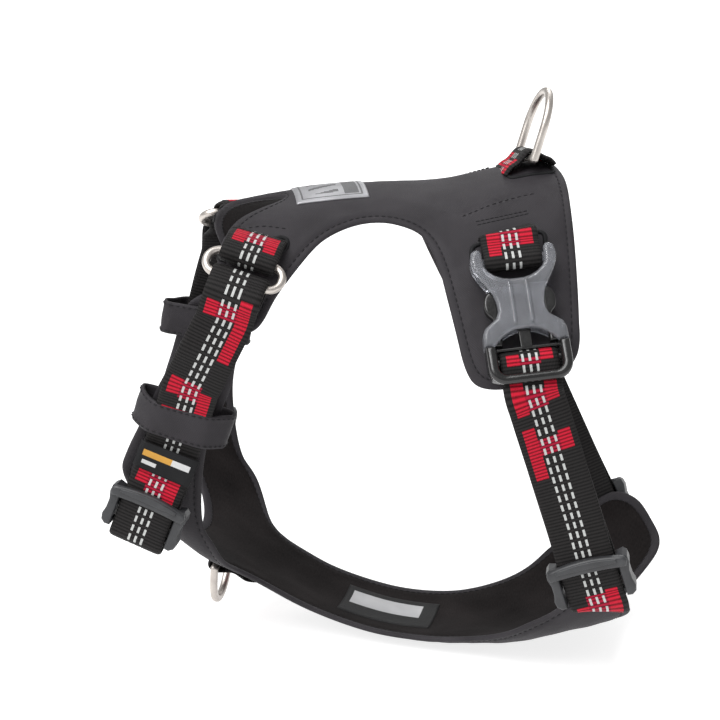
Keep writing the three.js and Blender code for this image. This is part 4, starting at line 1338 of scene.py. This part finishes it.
def add_girth_strap(side, name):
    middle = key_of(back_base, 60.5, side * 81, 4.5 + 1.2)
    before, after = key_of(back_base, 58.7, side * 67, 0)[0], key_of(back_base, 61.3, side * 81, 0)[0]
    along = unit(after - before)

    def spot(v):
        return middle[0] + along * v, middle[1]

    slider_x, slider_z, end_z = (103, -66, -94) if side > 0 else (99, -81, -103)
    slider_key = key_of(chest_base, slider_x, side * round_to(slider_x, slider_z), 8)
    above, to_slider, below = straight_through(spot(33)[0], slider_key, 15, 13)
    start = [key_of(back_base, 52.3, side * 34, 2.5), spot(-35), spot(-20), spot(33)]
    sewn = [key_of(chest_base, 109, side * round_to(109, end_z), 4), key_of(chest_base, 111, side * 27, 2)]
    track = Track([*start, above, to_slider, below, *sewn])
    centre, slider_at = track.nearest(middle[0]), track.nearest(to_slider[0])
    line = folded_tab(17, centre + SOCKET_BAR, 0, BUCKLE_TAB)
    add_tab(f"{name}_buckle_loop", track, line, TAB_BLOCKS, 6, side)
    add_buckle(side, name, track.matrix(centre))
    end = [(slider_at + 21, -3.5), (slider_at + 18, -1.5),
           *straight(slider_at + 14, 1.4, slider_at + 10, WRAP, 4)]
    bar_at = centre + STRAP_BAR
    blocks = GIRTH_BLOCKS + moved_on(GIRTH_SLIDER_BLOCKS, slider_at - bar_at)
    slider = f"{name}_girth_slider"
    add_strap(f"{name}_girth_strap", track, doubled(bar_at, slider_at, end),
              bar_at, slider_at, blocks, side)
    add_slider(slider, track, slider_at)
    return track


# ---- build: keepers and the strap label ----
def keeper_profile(centre, top):
    """The band round the arm and the strap, seen from its end, as evenly spaced places (across, outwards)."""
    half, back = 20.0, -7.4
    corners = [(-half + 3.5, back), (half - 3.5, back), (half - 0.4, back + 1.6), (half, -2.4),
               (half - 1.0, 0.8), (centre + 13.6, top - 1.6), (centre + 11, top), (centre, top + 0.3),
               (centre - 11, top),
               (centre - 13.6, top - 1.6), (-half + 1.0, 0.8), (-half, -2.4), (-half + 0.4, back + 1.6)]
    return evenly(catmull(corners + corners[:1], np.linspace(0, 1, 600))[:-1], 0.9, closed=True)


def add_keeper(side, name, track):
    """The fabric band that holds a neck strap on its arm of the chest plate, stitched along its edges."""
    shift, height, wall, rows = 1.0, 14.5, 1.1, 14
    x, z = (-72, -11) if side > 0 else (-70, 5)
    p, out = key_of(chest_base, x, side * round_to(x, z), 0)
    u = track.nearest(p)
    along = track.frame(u)[1][0]
    along = unit(along - out * (along @ out))
    across = np.cross(along, out)
    p = p - across * side * shift
    away = track.frame(u)[0][0] - p
    profile = keeper_profile(away @ across, away @ out + TOUCH + WEB_THICK / 2 + 1.6)
    around = len(profile)
    ahead = unit(np.roll(profile, -1, 0) - np.roll(profile, 1, 0))
    normal = array(ahead[:, 1], -ahead[:, 0])
    points, uv = [], []
    shares = np.linspace(0, 1, rows)
    section = [(share, 1) for share in shares] + [(share, -1) for share in shares[::-1]]
    for share, face in section:
        bead = 0.35 * math.exp(-((min(share, 1 - share) * height - 1.0) / 0.9) ** 2)
        for k in range(around):
            a, n = profile[k]
            front = smooth(n, -2, 6)
            fold = 0.3 * noise.noise(Vector((k * 0.07, share * 2.5, side * 3.0)))
            puff = bead + fold + 0.4 * math.sin(share * math.pi) if face > 0 else -wall
            sag = front * (1 - share) * (1.8 * math.cos(a / 20) - 0.9 + 0.05 * a * side)
            v = (share - 0.5) * height + sag
            flat = p + across * (a + normal[k, 0] * puff) + out * (n + normal[k, 1] * puff)
            points.append(world(flat + along * v))
            uv.append((k * 0.9 / 1000, v / 1000))
    keeper = f"{name}_neck_keeper"
    mesh = mesh_of(keeper, points, ring_faces(len(section), around, joined=True), uv=uv)
    fix_normals(mesh)
    piece(keeper, mesh, [SHELL], nodes=[keeper])
    shape = np.array(points).reshape(len(section), around, 3)
    runs = []
    for row in (1, rows - 2):
        picked = np.arange(0, around, 3)
        ways = across * normal[picked, :1] + out * normal[picked, 1:]
        way_on = unit(np.roll(shape[row], -1, 0) - np.roll(shape[row], 1, 0))[picked]
        runs.append((shape[row][picked] + ways * THREAD_LIFT, way_on, ways))
    stitches(f"{keeper}_stitches", runs, 1.8)


def woven_print(across, along):
    """A plain dark label with an amber and a white bar."""
    if 0.3 < across < 0.52 and 0.1 < along < 0.9:
        return 2 if along < 0.42 else 1
    if 0.66 < across < 0.76 and 0.62 < along < 0.88:
        return 2
    return 0


def add_strap_label(track, at):
    """The woven label, which wraps a little over the edges of the strap."""
    columns, rows = 33, 15
    half, height, top = 12.6, 12.0, 3.1
    points, uv = [], []
    a, v = np.linspace(-half, half, columns), np.linspace(-height / 2, height / 2, rows)
    for layer in (0.0, -0.55):
        for along_at in v:
            p, along, out, across = (q[0] for q in track.frame(at + along_at))
            for k in a:
                drop = 1.1 * smooth(abs(k), 10.8, half) - 0.1 * math.cos(k / half * 3)
                points.append(world(p + across * k + out * (top - drop + layer + 0.6)))
                uv.append((k / 1000, along_at / 1000))
    faces, picked = layered(rows, columns, woven_print)
    mesh = mesh_of("left_strap_label", points, faces, uv=uv, material_of=picked)
    fix_normals(mesh)
    piece("left_strap_label", mesh, [LABEL, AMBER, WHITE], nodes=["left_strap_label"])


tacks = tack(chest_track, 3.5, SEWN + TAB_TOP)
for side_sign, side_name in SIDES:
    neck_track, neck_slider_at = add_neck_strap(side_sign, side_name)
    add_keeper(side_sign, side_name, neck_track)
    if side_name == "left":
        add_strap_label(neck_track, neck_slider_at - 25)
    girth_track = add_girth_strap(side_sign, side_name)
    tacks += tack(neck_track, 4.5, SHOULDER_TAB + TAB_TOP) + tack(girth_track, 7.5, BUCKLE_TAB + TAB_TOP)
stitches("webbing_tacks", tacks, 1.7)


# ---- stage: floor, lights and camera ----
def build_stage(lowest):
    size = 14
    mesh = bpy.data.meshes.new("floor")
    corners = [(x * size, y * size, lowest) for x, y in ((-1, -1), (1, -1), (1, 1), (-1, 1))]
    mesh.from_pydata(corners, [], [(0, 1, 2, 3)])
    floor = loose("floor", mesh)
    mesh.materials.append(new_material("pale floor", (0.5, 0.5, 0.5), 0.9, Specular_IOR_Level=0.1,
                                       Emission_Color=(1, 1, 1, 1), Emission_Strength=0.78)[0])
    floor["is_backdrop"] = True
    surroundings = bpy.data.worlds.new("studio")
    surroundings.use_nodes = True
    surroundings.node_tree.nodes["Background"].inputs[0].default_value = (1, 1, 1, 1)
    surroundings.node_tree.nodes["Background"].inputs[1].default_value = 0.5
    bpy.context.scene.world = surroundings
    bpy.context.scene.view_settings.view_transform = "Standard"
    sun = bpy.data.lights.new("overhead", "SUN")
    sun.energy = 2.9
    sun.angle = math.radians(50)
    add_light(sun, (-0.55, -0.45, 1.3))
    for name, place, power, wide in (("key", (-0.9, -0.9, 0.9), 7, 0.7), ("rim", (0.3, 1.2, 1.0), 6, 0.7)):
        light = bpy.data.lights.new(name, "AREA")
        light.energy = power
        light.size = wide
        add_light(light, place)


def add_light(light, place):
    """Puts a light at a place in metres, aimed at the harness."""
    lamp = loose(light.name, light)
    lamp.location = place
    lamp.rotation_euler = (Vector((0, 0, -0.07)) - Vector(place)).to_track_quat("-Z", "Y").to_euler()


def build_camera():
    elevation, distance = math.radians(17), 0.86
    target = Vector((0, 0, -ORIGIN[2] / 1000))
    back = Vector((0, -math.cos(elevation), math.sin(elevation)))
    data = bpy.data.cameras.new("camera")
    data.lens = 100
    data.sensor_width = 36
    data.clip_start = 0.05
    data.clip_end = 40
    camera = loose("camera", data)
    camera.location = target + back * distance
    camera.rotation_mode = "QUATERNION"
    camera.rotation_quaternion = (-back).to_track_quat("-Z", "Y")
    bpy.context.scene.camera = camera


build_stage(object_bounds()[0][2] - 0.0005)
build_camera()
